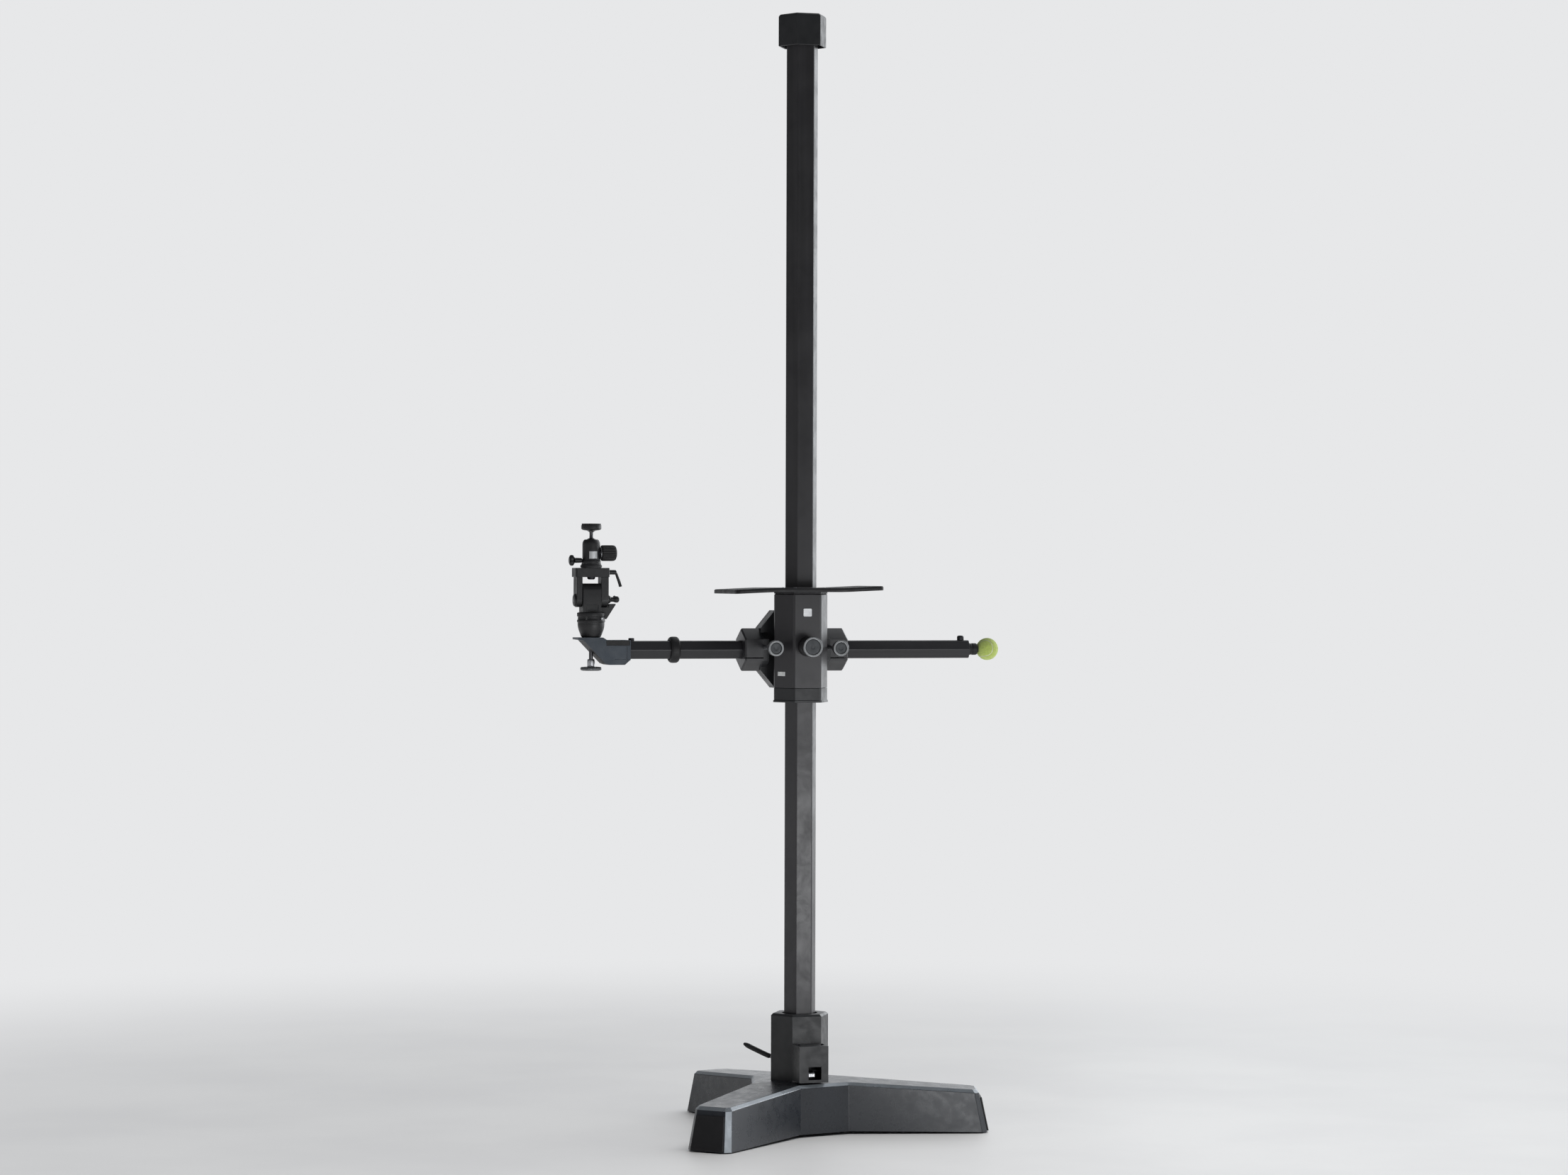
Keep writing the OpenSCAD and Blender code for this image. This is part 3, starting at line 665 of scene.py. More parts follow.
# ------------------------------------------------------------------ base
LEG_TURN = radians(-14.6)
base_low, base_high = span("base_shell")
tip_z, hub_z = base_low.z, base_high.z
skirt_z = tip_z + 5.5  # lower edge of the casting where the legs meet
leg_end = max(v.co.x * cos(LEG_TURN) + v.co.y * sin(LEG_TURN)
              for v in NODES["base_shell"].data.vertices) * 1000
ROOT = 138.3           # where a leg starts, out from the axis
TOP_SLOPE = 24.5 / 364.2


def turn(x, y, angle):
    return (x * cos(angle) - y * sin(angle), x * sin(angle) + y * cos(angle))


def leg_ring(root, root_half, end, end_half, corner, z, slope, steps=14):
    """One outline round all three legs, falling outward by the slope."""
    run, taper = end - corner - root, root_half - end_half
    points = [(root, -root_half)]
    for i in range(1, steps + 1):
        t = i / steps
        points.append((root + run * t, -root_half + taper * t))
    points += [(end, corner - end_half), (end, end_half - corner)]
    for i in range(steps + 1):
        t = i / steps
        points.append((end - corner + (root - end + corner) * t, end_half + taper * t))
    return [(*turn(x, y, LEG_TURN + radians(120 * i)), z - slope * (x - root))
            for i in range(3) for x, y in points]


lower = leg_ring(ROOT + 2, 80.8, leg_end, 69.9, 16, skirt_z,
                 (skirt_z - tip_z) / (leg_end - ROOT - 2))
upper = leg_ring(ROOT, 79.4, leg_end - 23.5, 58.5, 14, hub_z - 9, TOP_SLOPE)
crown = leg_ring(ROOT - 2.2, 71.4, leg_end - 32.5, 50.5, 10.7, hub_z, TOP_SLOPE)
ring = len(lower)
leg_points = ring // 3
levels = [[tuple(p[k] + (q[k] - p[k]) * s / 6 for k in range(3))
           for p, q in zip(lower, upper)] for s in range(7)] + [crown]
faces = []
for i in range(len(levels) - 1):
    faces += band(i * ring, (i + 1) * ring, ring)
for start in ((len(levels) - 1) * ring, 0):
    roots = [start + i * leg_points for i in range(3)]
    faces += [tuple(root + k for k in range(leg_points)) for root in roots]
    faces.append(tuple(x for root in roots for x in (root, root + leg_points - 1)))
casting = part("base_casting", [p for level in levels for p in level], faces, "base_paint",
               "base", replaces="base_shell", bevel=2.6, seg=4, angle=24, sharp=24)
# each leg is hollow below, and the hub is bored for the column
hollows = []
for i in range(3):
    corners = [turn(x, y, LEG_TURN + radians(120 * i))
               for x, y in ((0, -50), (leg_end - 36, -50), (leg_end - 36, 50), (0, 50))]
    hollows.append(plain("cutter", [(*c, z) for z in (tip_z - 3, 100.4) for c in corners],
                         SLAB_FACES))
cut(casting, *hollows, drill((0, 0, 84), "Z", 26, 80))
# the chamfers along the tops, and one down the end of the third leg, get a lighter copy of the
# paint: a painted highlight
casting.data.materials.append(MATERIALS["base_edge_highlight"])
third = LEG_TURN + radians(240)
for face in casting.data.polygons:
    c, n = face.center * 1000, face.normal
    if 0.22 < n.z < 0.93 and c.z > 90:
        face.material_index = 1
    out = c.x * cos(third) + c.y * sin(third)
    across = c.y * cos(third) - c.x * sin(third)
    facing = n.x * cos(third) + n.y * sin(third)
    if (out > leg_end - 45 and across > 0 and 0.35 < facing < 0.9 and abs(n.z) < 0.5
            and c.z < hub_z - 20):
        face.material_index = 1

# plates on the sloping ends of the legs
lean = atan(23.5 / ((hub_z - TOP_SLOPE * (leg_end - 23.5 - ROOT)) - 9 - tip_z))
COVER = [(-52, 3), (52, 3), (44.3, 100), (-44.3, 100)]  # (across, up the slope)
for i in range(3):
    verts = [(*turn(leg_end + t * cos(lean) - h * sin(lean), y, LEG_TURN - radians(120 * i)),
              tip_z + t * sin(lean) + h * cos(lean))
             for t in (0.05, 5.0) for y, h in COVER]
    part("leg_cover_%d" % (i + 1), verts, SLAB_FACES, "casting_black", "base",
         replaces="leg_end_plates" if i == 0 else None, bevel=1.4, slot="base_paint")

cad("base_collar", bevel=1.3, seg=3)
cad("pedal_housing", bevel=1.3, seg=3)
prism("lift_pedal_tread", [
    (-95, 187.5), (-131, 187.5), (-137.5, 185), (-141.5, 180), (-141.5, 171), (-138, 171),
    (-137, 178), (-134, 181), (-129, 182.5), (-108, 182.5), (-100, 178), (-90, 178),
    (-87, 183), (-90, 187.5),
], "X", -14, 4, "bright_steel", "lift_pedal", replaces="lift_pedal", bevel=0.7)
PEDAL_RIB = [(-141.6, 173.2), (-142.3, 173.6), (-142.3, 174.4), (-141.6, 174.8)]
for i in range(3):
    prism("pedal_rib_%d" % (i + 1), shifted(PEDAL_RIB, 0, 2.6 * i), "X", -12.5, 2.5,
          "bright_steel", "lift_pedal", slot="steel")
housing_low, housing_high = span("pedal_housing")
for side, x in (("l", -34), ("r", 34)):
    socket_head("pedal_housing_screw_" + side,
                (x, (housing_low.y + housing_high.y) / 2 - 6, housing_high.z),
                "Z", 4.2, 3.2, "base")

# the foot lever, out at 150 degrees from +X
lever_way = Vector((cos(radians(150)), sin(radians(150)), 0))
LEVER = [(54, 213), (74, 213), (90, 213.5), (104, 218.5), (136, 232.5), (166.5, 246.5)]
path = smooth_path([lever_way * out + Vector((0, 0, z)) for out, z in LEVER])
radii = [6.0] * 12 + [7.2] * (len(path) - 15) + [6.8, 5.4, 3.2]
pipe("foot_lever_bar", path, radii, "foot_lever", n=28, replaces="foot_lever")
revolve("foot_lever_boss", [(6.1, 0), (13, 0), (13, 5), (10, 8), (6.1, 8)],
        lever_way * 76.2 + Vector((0, 0, 213)), tuple(lever_way), "steel", "foot_lever",
        n=48, fillet=(1.2, 4), slot="steel")

for k in (1, 2, 3):
    cad("castor_fork_%d" % k, bevel=0.5)
    cad("castor_wheel_%d" % k, bevel=1.6, seg=3)

# ------------------------------------------------------------------ column
low, high = span("column_tube")
column_radius = (high.y - low.y) / sqrt(3)
prism("column_extrusion", hexagon(column_radius, 3.2), "Z", low.z, high.z, "column_black",
      "column", hole=hexagon(column_radius - 4.04, 2.4), replaces="column_tube", bevel=1.1)
cad("top_cap", bevel=1.6, seg=3)
cad("pulley_bracket", bevel=0.7)
revolve("pulley_wheel", [
    (4.05, -5.5), (11, -5.5), (12, -4.2), (22, -3.2), (26.4, -4), (27.6, -4), (27.6, -3.2),
    (24.2, -1.6), (23.5, 0), (24.2, 1.6), (27.6, 3.2), (27.6, 4), (26.4, 4), (22, 3.2),
    (12, 4.2), (11, 5.5), (4.05, 5.5),
], centre("cable_pulley"), "X", "pulley_alu", "pulley", fillet=(0.6, 3),
    replaces="cable_pulley")


def cable(name, node):
    """A 3 mm cable that stretches between a body, below, and the column."""
    low, high = span(node)
    x, y = (low.x + high.x) / 2, (low.y + high.y) / 2
    n = 16
    verts = [(x + 1.5 * cos(2 * pi * i / n), y + 1.5 * sin(2 * pi * i / n), z)
             for z in (low.z, high.z) for i in range(n)]
    obj = plain(name, verts, closed_faces(n))
    for face in obj.data.polygons:
        face.use_smooth = len(face.vertices) == 4
    obj.data.materials.append(MATERIALS["cable_steel"])
    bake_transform(obj)
    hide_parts(node)


cable("cable_to_carriage", "cable_rear")
cable("cable_to_weight", "cable_inner")

# ------------------------------------------------------------------ carriage
for node, bevel in (("carriage_shell", 1.5), ("carriage_skirt", 1.0), ("cross_block", 1.6),
                    ("arm_collar_left", 1.4), ("arm_collar_right", 1.4)):
    cad(node, bevel, seg=3)
cad("tray_plate", bevel=0.8)
# blank plates
PLATE = [(-10.5, -11.5), (10.5, -11.5), (12.5, -9.5), (12.5, 9.5),
         (10.5, 11.5), (-10.5, 11.5), (-12.5, 9.5), (-12.5, -9.5)]
prism("blank_plate_front", shifted(PLATE, 0, shell_high.z - 66), "Y", carriage_front - 0.9,
      carriage_front + 0.15, "label_silver", "carriage", bevel=0.3, seg=2, slot="collar_black")
shell_corner = Vector((-81, 0, 0))
face_way, face_out = Vector((0.5, -0.8660254, 0)), Vector((-0.8660254, -0.5, 0))
verts = [shell_corner + face_way * s + face_out * t + Vector((0, 0, shell_low.z + z))
         for t in (0.02, 0.7) for s, z in ((17, 34), (46, 34), (46, 46), (17, 46))]
part("blank_label_side", verts, SLAB_FACES, "label_white", "carriage", bevel=0.25, seg=2,
     slot="collar_black")

# the tray: a folded sheet round a hexagonal hole, a little bent at its ends
low, high = span("tray")
tray_half_x, tray_half_y = (high.x - low.x) / 2, (high.y - low.y) / 2
tray_top, tray_x = high.z, (low.x + high.x) / 2


def tray_bend(x):
    beyond = max(0.0, abs(x) - 88)
    return copysign(0.05, x) * beyond * beyond / (beyond + 25)


def dense(loop, step=14):
    """Splits the long sides of a loop."""
    out = []
    for p, q in zip(loop, loop[1:] + loop[:1]):
        m = max(1, int(dist(p, q) / step))
        out += [(p[0] + (q[0] - p[0]) * s / m, p[1] + (q[1] - p[1]) * s / m)
                for s in range(m)]
    return out


tray_outline = dense(round_rect(tray_half_x, tray_half_y, 14, steps=6))


def inset(p, depth):
    return (p[0] * (tray_half_x - depth) / tray_half_x,
            p[1] * (tray_half_y - depth) / tray_half_y)


def on_hole(x, y):
    """The point of the hexagonal hole in the direction of (x, y)."""
    a = atan2(y, x)
    middle = radians(60 * floor(a * 180 / pi / 60.0) + 30)
    r = 64 * cos(radians(30)) / cos(a - middle)
    return (r * cos(a), r * sin(a))


def rim_row(depth, height):
    return [(inset(p, depth)[0] + tray_x, inset(p, depth)[1],
             tray_top + height + tray_bend(p[0])) for p in tray_outline]


def sheet_row(depth, height, t):
    """A row at t of the way from the rim to the hole."""
    row = []
    for p in tray_outline:
        a, b = inset(p, depth), on_hole(p[0] + tray_x, p[1])
        x = a[0] + tray_x + (b[0] - a[0] - tray_x) * t
        row.append((x, a[1] + (b[1] - a[1]) * t, tray_top + height + tray_bend(x)))
    return row


# (inset, height) up the outside of the rim
RIM = [(2.4, -11.4), (0.9, -12.0), (0.0, -10.8), (0.0, -3.4), (0.9, -1.2), (3.0, 0.0)]
rows = [rim_row(*station) for station in RIM]
rows += [sheet_row(2.2, 0.0, t) for t in (0.12, 0.3, 0.5, 0.7, 0.88, 1.0)]
rows += [sheet_row(2.6, -2.0, t) for t in (1.0, 0.88, 0.7, 0.5, 0.3, 0.12, 0.0)]
rows.append(rim_row(2.2, -11.2))
n = len(tray_outline)
faces = []
for i in range(len(rows)):
    faces += band(i * n, (i + 1) % len(rows) * n, n)
part("tray_sheet", [p for row in rows for p in row], faces, "tray_black", "carriage",
     replaces="tray", sharp=40)

# bolts at the back of the cross block, and screws on the tray
bolt_y = span("carriage_bolts")[1].y - 8.0
bolt_places = [(x, bolt_y, z) for x in (-33.6, 33.6) for z in (arm_z - 78, arm_z + 82)]
for i, at in enumerate(bolt_places, 1):
    socket_head("block_bolt_%d" % i, at, "Y", 6.5, 8, "carriage")
    revolve("block_washer_%d" % i, [(4.2, 0), (8.6, 0), (8.6, 1.3), (4.2, 1.3)],
            at, "Y", "steel", "carriage", n=40, slot="steel")
for i in range(3):
    a = radians(120 * i)
    socket_head("tray_screw_%d" % (i + 1), (70 * cos(a), 70 * sin(a), tray_top - 1.4), "Z",
                4.5, 2.2, "carriage", "steel")
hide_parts("carriage_bolts")


def hand_knob(tag, body, radius, depth, ribs, neck, neck_end, shaft, shaft_material):
    """A round knob facing -Y: ribbed black grip, turned rim, dark face, and a shaft.
    neck_end is in y; with None the neck ends 50 behind the front of the knob."""
    node, insert = tag + "_knob", tag + ("_knob_insert" if tag == "brake" else "_insert")
    low, high = span(node)
    middle = centre(node)
    at = (middle.x, low.y, middle.z)
    R = radius
    revolve(tag + "_grip", [
        (0, depth), (R - 3, depth), (R - 1.0, depth - 2.0), (R - 0.9, 5.2), (R - 0.9, 4.0),
        (R - 5, 3.6), (R - 7, 3.6), (0, 3.6),
    ], at, "Y", "plastic_black", body, fillet=(0.7, 2), ribs=(ribs, 0.8, R - 1.4),
        replaces=node)
    rim = turned(tag + "_rim_metal", (0.19, 0.195, 0.2), 1, at, rough=0.36)
    revolve(tag + "_rim", [
        (R - 7.4, 4.6), (R - 7.4, 0.7), (R - 6.6, 0.0), (R - 1.2, 0.0), (R, 1.2), (R, 4.6),
    ], at, "Y", rim, body, fillet=(0.5, 4), slot="knob_grey")
    face = turned(tag + "_face_metal", (0.062, 0.067, 0.072), 1, at, rough=0.45,
                  metallic=0.35)
    revolve(tag + "_face", [
        (0, 5.0), (R - 7.5, 5.0), (R - 7.5, 2.6), (R - 8.6, 2.0), (6.5, 2.0), (6.0, 2.6),
        (3.0, 2.7), (0, 2.7),
    ], at, "Y", face, body, fillet=(0.5, 3), replaces=insert)
    step = 50 if neck_end is None else neck_end - low.y - 2.6
    end = high.y - low.y
    revolve(tag + "_shaft", [
        (0, depth - 0.5), (neck, depth - 0.5), (neck, step), (shaft, step + 1.2),
        (shaft, end - 1), (shaft - 1, end), (0, end),
    ], at, "Y", shaft_material, body, n=64, fillet=(0.5, 3), slot="steel")


hand_knob("brake", "brake_knob", radius=29.5, depth=24, ribs=60, neck=28.4,
          neck_end=carriage_front, shaft=8, shaft_material="casting_black")
for tag in ("clamp_left", "clamp_right"):
    hand_knob(tag, tag, radius=23.5, depth=20, ribs=44, neck=14, neck_end=None, shaft=6,
              shaft_material="steel")

# ------------------------------------------------------------------ cross arm
arm_low, arm_high = span("arm_tube")
arm_radius = (arm_high.y - arm_low.y) / 2
arm_end = arm_high.x


def arm_hexagon(radius, chamfer):
    return shifted(hexagon(radius, chamfer), arm_y, arm_z)


prism("arm_extrusion", arm_hexagon(arm_radius, 2.6), "X", arm_low.x, arm_end, "arm_black",
      "arm", hole=arm_hexagon(arm_radius - 3.6, 2.0), replaces="arm_tube", bevel=0.9)
low, high = span("stop_ring")
width = high.x - low.x
revolve("arm_stop_ring", [
    (29, 0.5), (33.5, 0), (37.2, 4), (38, 9), (38, width - 9), (37.2, width - 4),
    (33.5, width), (29, width - 0.5), (27.4, width * 0.5),
], (low.x, arm_y, arm_z), "X", "rubber_black", "arm", fillet=(3.0, 5), replaces="stop_ring")
revolve("arm_end_plug", [
    (0, -8), (22, -8), (22, 0.2), (19.5, 0.2), (17.3, 2), (17.3, 9), (16.0, 10), (16.0, 13),
    (17.3, 14), (17.3, 25), (16, 28.2), (9.95, 28.3), (9.95, 48), (8, 50.5), (0, 50.5),
], (arm_end, arm_y, arm_z), "X", "rubber_black", "arm", fillet=(0.7, 3), replaces="end_plug")
prism("arm_end_liner", arm_hexagon(arm_radius - 3.8, 2.0), "X", arm_end - 30, arm_end - 0.6,
      "rubber_black", "arm", bevel=0.8, slot="rubber_black")

# the felt ball, with one curved seam like a tennis ball's
low, high = span("end_ball")
ball_radius = (high.y - low.y) / 2
ball_centre = Vector((high.x - ball_radius, arm_y, arm_z))
SEAM_SWING = 0.44


def seam_point(t):
    polar = pi / 2 - (pi / 2 - SEAM_SWING) * cos(t)
    turned_by = t / 2 + SEAM_SWING * sin(2 * t)
    return Vector((sin(polar) * cos(turned_by), sin(polar) * sin(turned_by), cos(polar)))


seam_turn = Matrix.Rotation(radians(40), 3, "Z") @ Matrix.Rotation(radians(65), 3, "X")
seam = [seam_turn @ seam_point(4 * pi * i / 260) for i in range(260)]
seam_tree = kdtree.KDTree(len(seam))
for i, s in enumerate(seam):
    seam_tree.insert(s, i)
seam_tree.balance()


def from_seam(direction):
    return seam_tree.find(direction)[2] * ball_radius


bm = bmesh.new()
bmesh.ops.create_icosphere(bm, subdivisions=6, radius=1.0)
for v in bm.verts:
    d = v.co.normalized()
    r = (ball_radius - 1.1 + 0.45 * noise.noise(d * 22) + 0.35 * noise.noise(d * 60)
         + 0.2 * noise.noise(d * 140))
    r -= 1.15 * max(0.0, 1.0 - (from_seam(d) / 2.1) ** 2)
    # pushed on to the plug: the mouth is drawn in
    mouth = max(0.0, -d.x - 0.90) / 0.10
    r -= 2.4 * mouth * mouth
    v.co = ball_centre * MM + d * r * MM
mesh = bpy.data.meshes.new("end_ball_felt")
bm.to_mesh(mesh)
bm.free()
ball = link("end_ball_felt", mesh)
mesh.materials.append(MATERIALS["felt"])
for face in mesh.polygons:
    face.use_smooth = True
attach(ball, "arm")
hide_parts("end_ball")

rubbery("ball_seam", (0.74, 0.76, 0.6), rough=0.6, grain=900, depth=0.12, wear=0.0)
# (across, outward) round the seam's section
SEAM_SECTION = [(-1.25, -0.5), (-0.8, 0.12), (0, 0.3), (0.8, 0.12), (1.25, -0.5)]
middle_line = [ball_centre + s * (ball_radius - 1.75) for s in seam]
count = len(seam)
verts, faces = [], []
for i in range(count):
    outward = seam[i].normalized()
    tangent = (middle_line[(i + 1) % count] - middle_line[i - 1]).normalized()
    across = outward.cross(tangent).normalized()
    verts += [middle_line[i] + across * s + outward * h for s, h in SEAM_SECTION]
    faces += band(i * 5, (i + 1) % count * 5, 5)
part("end_ball_seam", verts, faces, "ball_seam", "arm", slot="felt", sharp=60)


def random_vector():
    return Vector((rng.gauss(0, 1), rng.gauss(0, 1), rng.gauss(0, 1)))


verts, faces = [], []
for i in range(9000):
    d = random_vector().normalized()
    if from_seam(d) < 1.9 or d.x < -0.93:
        continue
    hang = random_vector()
    hang = (hang - d * hang.dot(d)).normalized()
    root = ball_centre + d * (ball_radius - 1.3)
    length = rng.uniform(0.7, 1.4)
    half = d.cross(hang).normalized() * 0.055
    tip = root + d * length * 0.62 + hang * length * 0.5
    k = len(verts)
    verts += [root - half, root + half, tip + hang * 0.2]
    faces.append((k, k + 1, k + 2))
fuzz = plain("end_ball_fuzz", verts, faces)
fuzz.data.materials.append(MATERIALS["felt"])
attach(fuzz, "arm")

revolve("arm_stop_screw", [
    (0, -3), (4, -3), (4, 0.1), (10, 0.1), (10, 9.5), (9.2, 11.8), (6.5, 13.6), (0, 14),
], (arm_end - 21, arm_y, arm_z + 26), "Z", "dark_screw", "arm", n=64, fillet=(1.0, 4),
    replaces="arm_screws")
socket_head("arm_spigot_screw", (arm_low.x + 10, arm_y, arm_z + 26), "Z", 8.5, 8.0, "arm")

# the elbow: (x from the head's axis, z from the arm's)
ELBOW = [(-46, 36), (-46, 30.2), (-30, 28), (33, -38), (45, -42.5), (92, -42.5),
         (105, -31), (109, -28), (109, 28.5), (40, 28.5), (28, 36)]
low, high = span("elbow_block")
elbow_front, elbow_back = low.y, high.y


def elbow_slots(x0, x1, z0, z1, depth):
    """Cutters for one slot in the front face and one in the back."""
    return [box_cutter(head_x + x0, head_x + x1, y0, y1, arm_z + z0, arm_z + z1)
            for y0, y1 in ((elbow_front - 1, elbow_front + depth),
                           (elbow_back - depth, elbow_back + 1))]


elbow = prism("elbow_casting", shifted(ELBOW, head_x, arm_z), "Y", elbow_front, elbow_back,
              "elbow_grey", "arm", replaces="elbow_block", bevel=2.4, seg=4, angle=14)
cut(elbow, drill((head_x, head_y, arm_z - 60), "Z", 6.3, 120),
    *elbow_slots(62, 111, -27.4, -25.8, depth=1.3),
    *elbow_slots(37, 106.5, 12.5, 27.4, depth=2.0),
    *elbow_slots(96.8, 98.4, -60, 60, depth=1.3))
# the sloping underside is given black rubber's colour: painted shade
elbow.data.materials.append(MATERIALS["rubber_black"])
for face in elbow.data.polygons:
    if face.normal.z < -0.3 and face.normal.x < -0.25:
        face.material_index = 1
# black strips in the front and back recesses: painted shade in the recesses
RECESS_SHADE = [(37.5, 13), (106, 13), (106, 27), (37.5, 27)]
for side, y0, y1 in (("front", elbow_front + 0.6, elbow_front + 2.0),
                     ("back", elbow_back - 2.0, elbow_back - 0.6)):
    prism("elbow_band_" + side, shifted(RECESS_SHADE, head_x, arm_z), "Y", y0, y1, "rubber_black",
          "arm", slot="rubber_black", bevel=0.3, seg=2)

at = (head_x, head_y, span("elbow_knob")[0].z)
revolve("elbow_knob_disc", [
    (0, 0), (24, 0), (29, 1.6), (30.4, 3.4), (30.4, 8.0), (28, 10.6), (15, 11.8), (0, 11.8),
], at, "Z", turned("elbow_knob_metal", (0.16, 0.165, 0.17), 2, at, rough=0.34),
    "elbow_knob", fillet=(0.8, 3), ribs=(48, 0.8, 29.6), replaces="elbow_knob")
revolve("elbow_knob_collar", [(6.1, 11.6), (10.8, 11.6), (10.8, 28), (9.6, 33), (6.1, 33.5)],
        at, "Z", "steel", "elbow_knob", n=64, fillet=(0.8, 3), slot="bright_steel")
revolve("elbow_knob_stud", [(0, 11), (5.9, 11), (5.9, 94), (5.0, 95), (0, 95)],
        at, "Z", "dark_steel", "elbow_knob", n=48, fillet=(0.5, 2), slot="steel")

# ------------------------------------------------------------------ pan-tilt head
tilt_z = arm_z + 145
revolve("pan_lower", [
    (0, 0.2), (25.5, 0.2), (28.6, 2.2), (30.2, 7), (32.6, 13), (35.6, 21), (37.8, 30),
    (38.5, 36), (38.5, 43.5), (40.4, 44.6), (40.4, 50), (38.2, 51.2), (38.0, 54.5),
    (37.8, 59.5), (40.4, 60.8), (40.4, 70), (38, 72), (20, 73), (0, 73),
], (head_x, head_y, span("pan_body")[0].z), "Z", "head_black", "pan_head", fillet=(1.0, 3),
    replaces="pan_body")
# (y from the head's axis, z from the arm's)
PAN_BLOCK = [(-26, 106), (26, 106), (26, 172), (22, 181), (14, 188.5), (8, 191),
             (-8, 191), (-14, 188.5), (-22, 181), (-26, 172)]
block = prism("pan_block", shifted(PAN_BLOCK, head_y, arm_z), "X", head_x - 29.3,
              head_x + 24.3, "head_black", "pan_head", bevel=1.6, angle=40,
              slot="head_black")
cut(block, *[box_cutter(head_x - 20, head_x + 15, head_y + y0, head_y + y1,
                        arm_z + 114, arm_z + 130)
             for y0, y1 in ((-28, -24.4), (24.4, 28))],
    drill((head_x - 40, head_y, tilt_z), "X", 8.2, 90))
# (x from the head's axis, z from the arm's)
GUSSET = [(16, 88.5), (42.5, 88.5), (69.5, 130), (69.5, 132.3), (49.2, 132.3),
          (49.2, 123), (16, 123)]
prism("pan_gusset", shifted(GUSSET, head_x, arm_z), "Y", head_y - 13.8, head_y + 13.8,
      "head_black", "pan_head", bevel=1.4, slot="head_black")
socket_head("pan_lock_screw", (head_x + 26, head_y - 23, arm_z + 90), (0, -1, 0), 4.6, 10,
            "pan_head", "bright_steel")
PAN_RIB = [(-24, 86), (-18, 86), (-18, 102), (-24, 102)]
for tag, sign in (("f", -1), ("b", 1)):
    prism("pan_rib_" + tag, shifted(PAN_RIB, head_x, arm_z), "Y", head_y + sign * 26,
          head_y + sign * 33.5, "head_black", "pan_head", bevel=1.0, slot="head_black")
shaft_x = span("tilt_shaft")[0].x
revolve("tilt_shaft_cap", [(0, 0), (13, 0), (16.5, 1.0), (18, 2.6), (18, 4.85), (0, 4.85)],
        (shaft_x, head_y, arm_z + 143), "X", "plastic_black", "pan_head", fillet=(0.7, 3),
        replaces="tilt_shaft")
socket_head("tilt_shaft_screw", (shaft_x + 0.6, head_y, arm_z + 143), (-1, 0, 0), 5, 1.6,
            "pan_head", "steel")
revolve("tilt_shaft_bar", [(0, 0), (8, 0), (8, 94), (0, 94)], (shaft_x + 5, head_y, tilt_z),
        "X", "steel", "pan_head", n=64, fillet=(0.4, 2), slot="steel")
stub_x = span("stub_lever")[0].x
revolve("stub_hub", [
    (0, 0), (12, 0), (12, 5.5), (10.2, 7.8), (7.6, 10), (6.6, 15), (7.0, 19), (8.6, 23),
    (9.3, 28), (8.6, 32), (5.5, 35), (0, 36),
], (stub_x, head_y, tilt_z), "X", "plastic_black", "stub_lever", n=64, fillet=(1.4, 4),
    replaces="stub_lever")
path = smooth_path([(stub_x + 29.5, head_y + y, arm_z + z)
                    for y, z in ((4, 146), (18, 148.5), (36, 152.5))])
radii = [3.6 + 0.9 * i / len(path) for i in range(len(path) - 1)] + [2.6]
pipe("stub_arm", path, radii, "stub_lever", n=24, slot="plastic_black")

# the yoke: two cheeks under a bar
low, high = span("tilt_yoke")
bar_bottom = high.z - 26.5


def cheek(name, x0, x1, replaces=None):
    outline = [(head_y + 22 * cos(radians(a)), tilt_z + 22 * sin(radians(a)))
               for a in range(180, 361, 10)]
    outline += [(head_y + 22, bar_bottom + 1), (head_y - 22, bar_bottom + 1)]
    obj = prism(name, outline, "X", x0, x1, "head_black", "yoke", bevel=1.5,
                slot="head_black", replaces=replaces)
    cut(obj, drill((x0 - 5, head_y, tilt_z), "X", 8.25, x1 - x0 + 10))


cheek("yoke_cheek_left", head_x - 47, head_x - 30, replaces="tilt_yoke")
cheek("yoke_cheek_right", head_x + 25, head_x + 47)
bar_outline = shifted(round_rect((high.x - low.x) / 2, 28, 6, steps=5),
                      (low.x + high.x) / 2, head_y)
yoke_bar = prism("yoke_bar", bar_outline, "Z", bar_bottom, high.z, "head_black", "yoke",
                 bevel=1.8, slot="head_black")
ratchet_x, ratchet_z = high.x, arm_z + 223
cut(yoke_bar, drill((ratchet_x - 24, head_y, ratchet_z), "X", 4.2, 30))
revolve("yoke_bolt", [(0, 0.3), (7.5, 0), (10.2, 1.5), (11.2, 4), (11.8, 7.2), (0, 7.2)],
        (head_x, head_y, bar_bottom - 7), "Z", "dark_screw", "yoke", n=64,
        fillet=(0.6, 3), slot="steel")
revolve("ratchet_hub", [
    (0, -12), (4, -12), (4, 0.2), (7.4, 0.3), (7.6, 3), (6.6, 9), (6.8, 18), (6.4, 23),
    (4.4, 25.2), (0, 25.4),
], (ratchet_x, head_y, ratchet_z), "X", "plastic_black", "ratchet", n=64, fillet=(0.8, 3),
    replaces="ratchet_handle")
# (x from the bar's right end, z from the arm)
HANDLE = [(19, 224), (24, 220), (28, 210), (33, 197), (37, 184.5), (37.8, 181.5)]
path = smooth_path([(ratchet_x + x, head_y, arm_z + z) for x, z in HANDLE])
radii = [3.4 + 1.5 * (i / len(path)) for i in range(len(path) - 4)] + [4.9, 4.6, 3.9, 2.6]
pipe("ratchet_arm", path, radii, "ratchet", n=32, slot="plastic_black")
socket_head("ratchet_screw", (ratchet_x + 24.9, head_y, ratchet_z), "X", 3.0, 1.2,
            "ratchet", "steel")

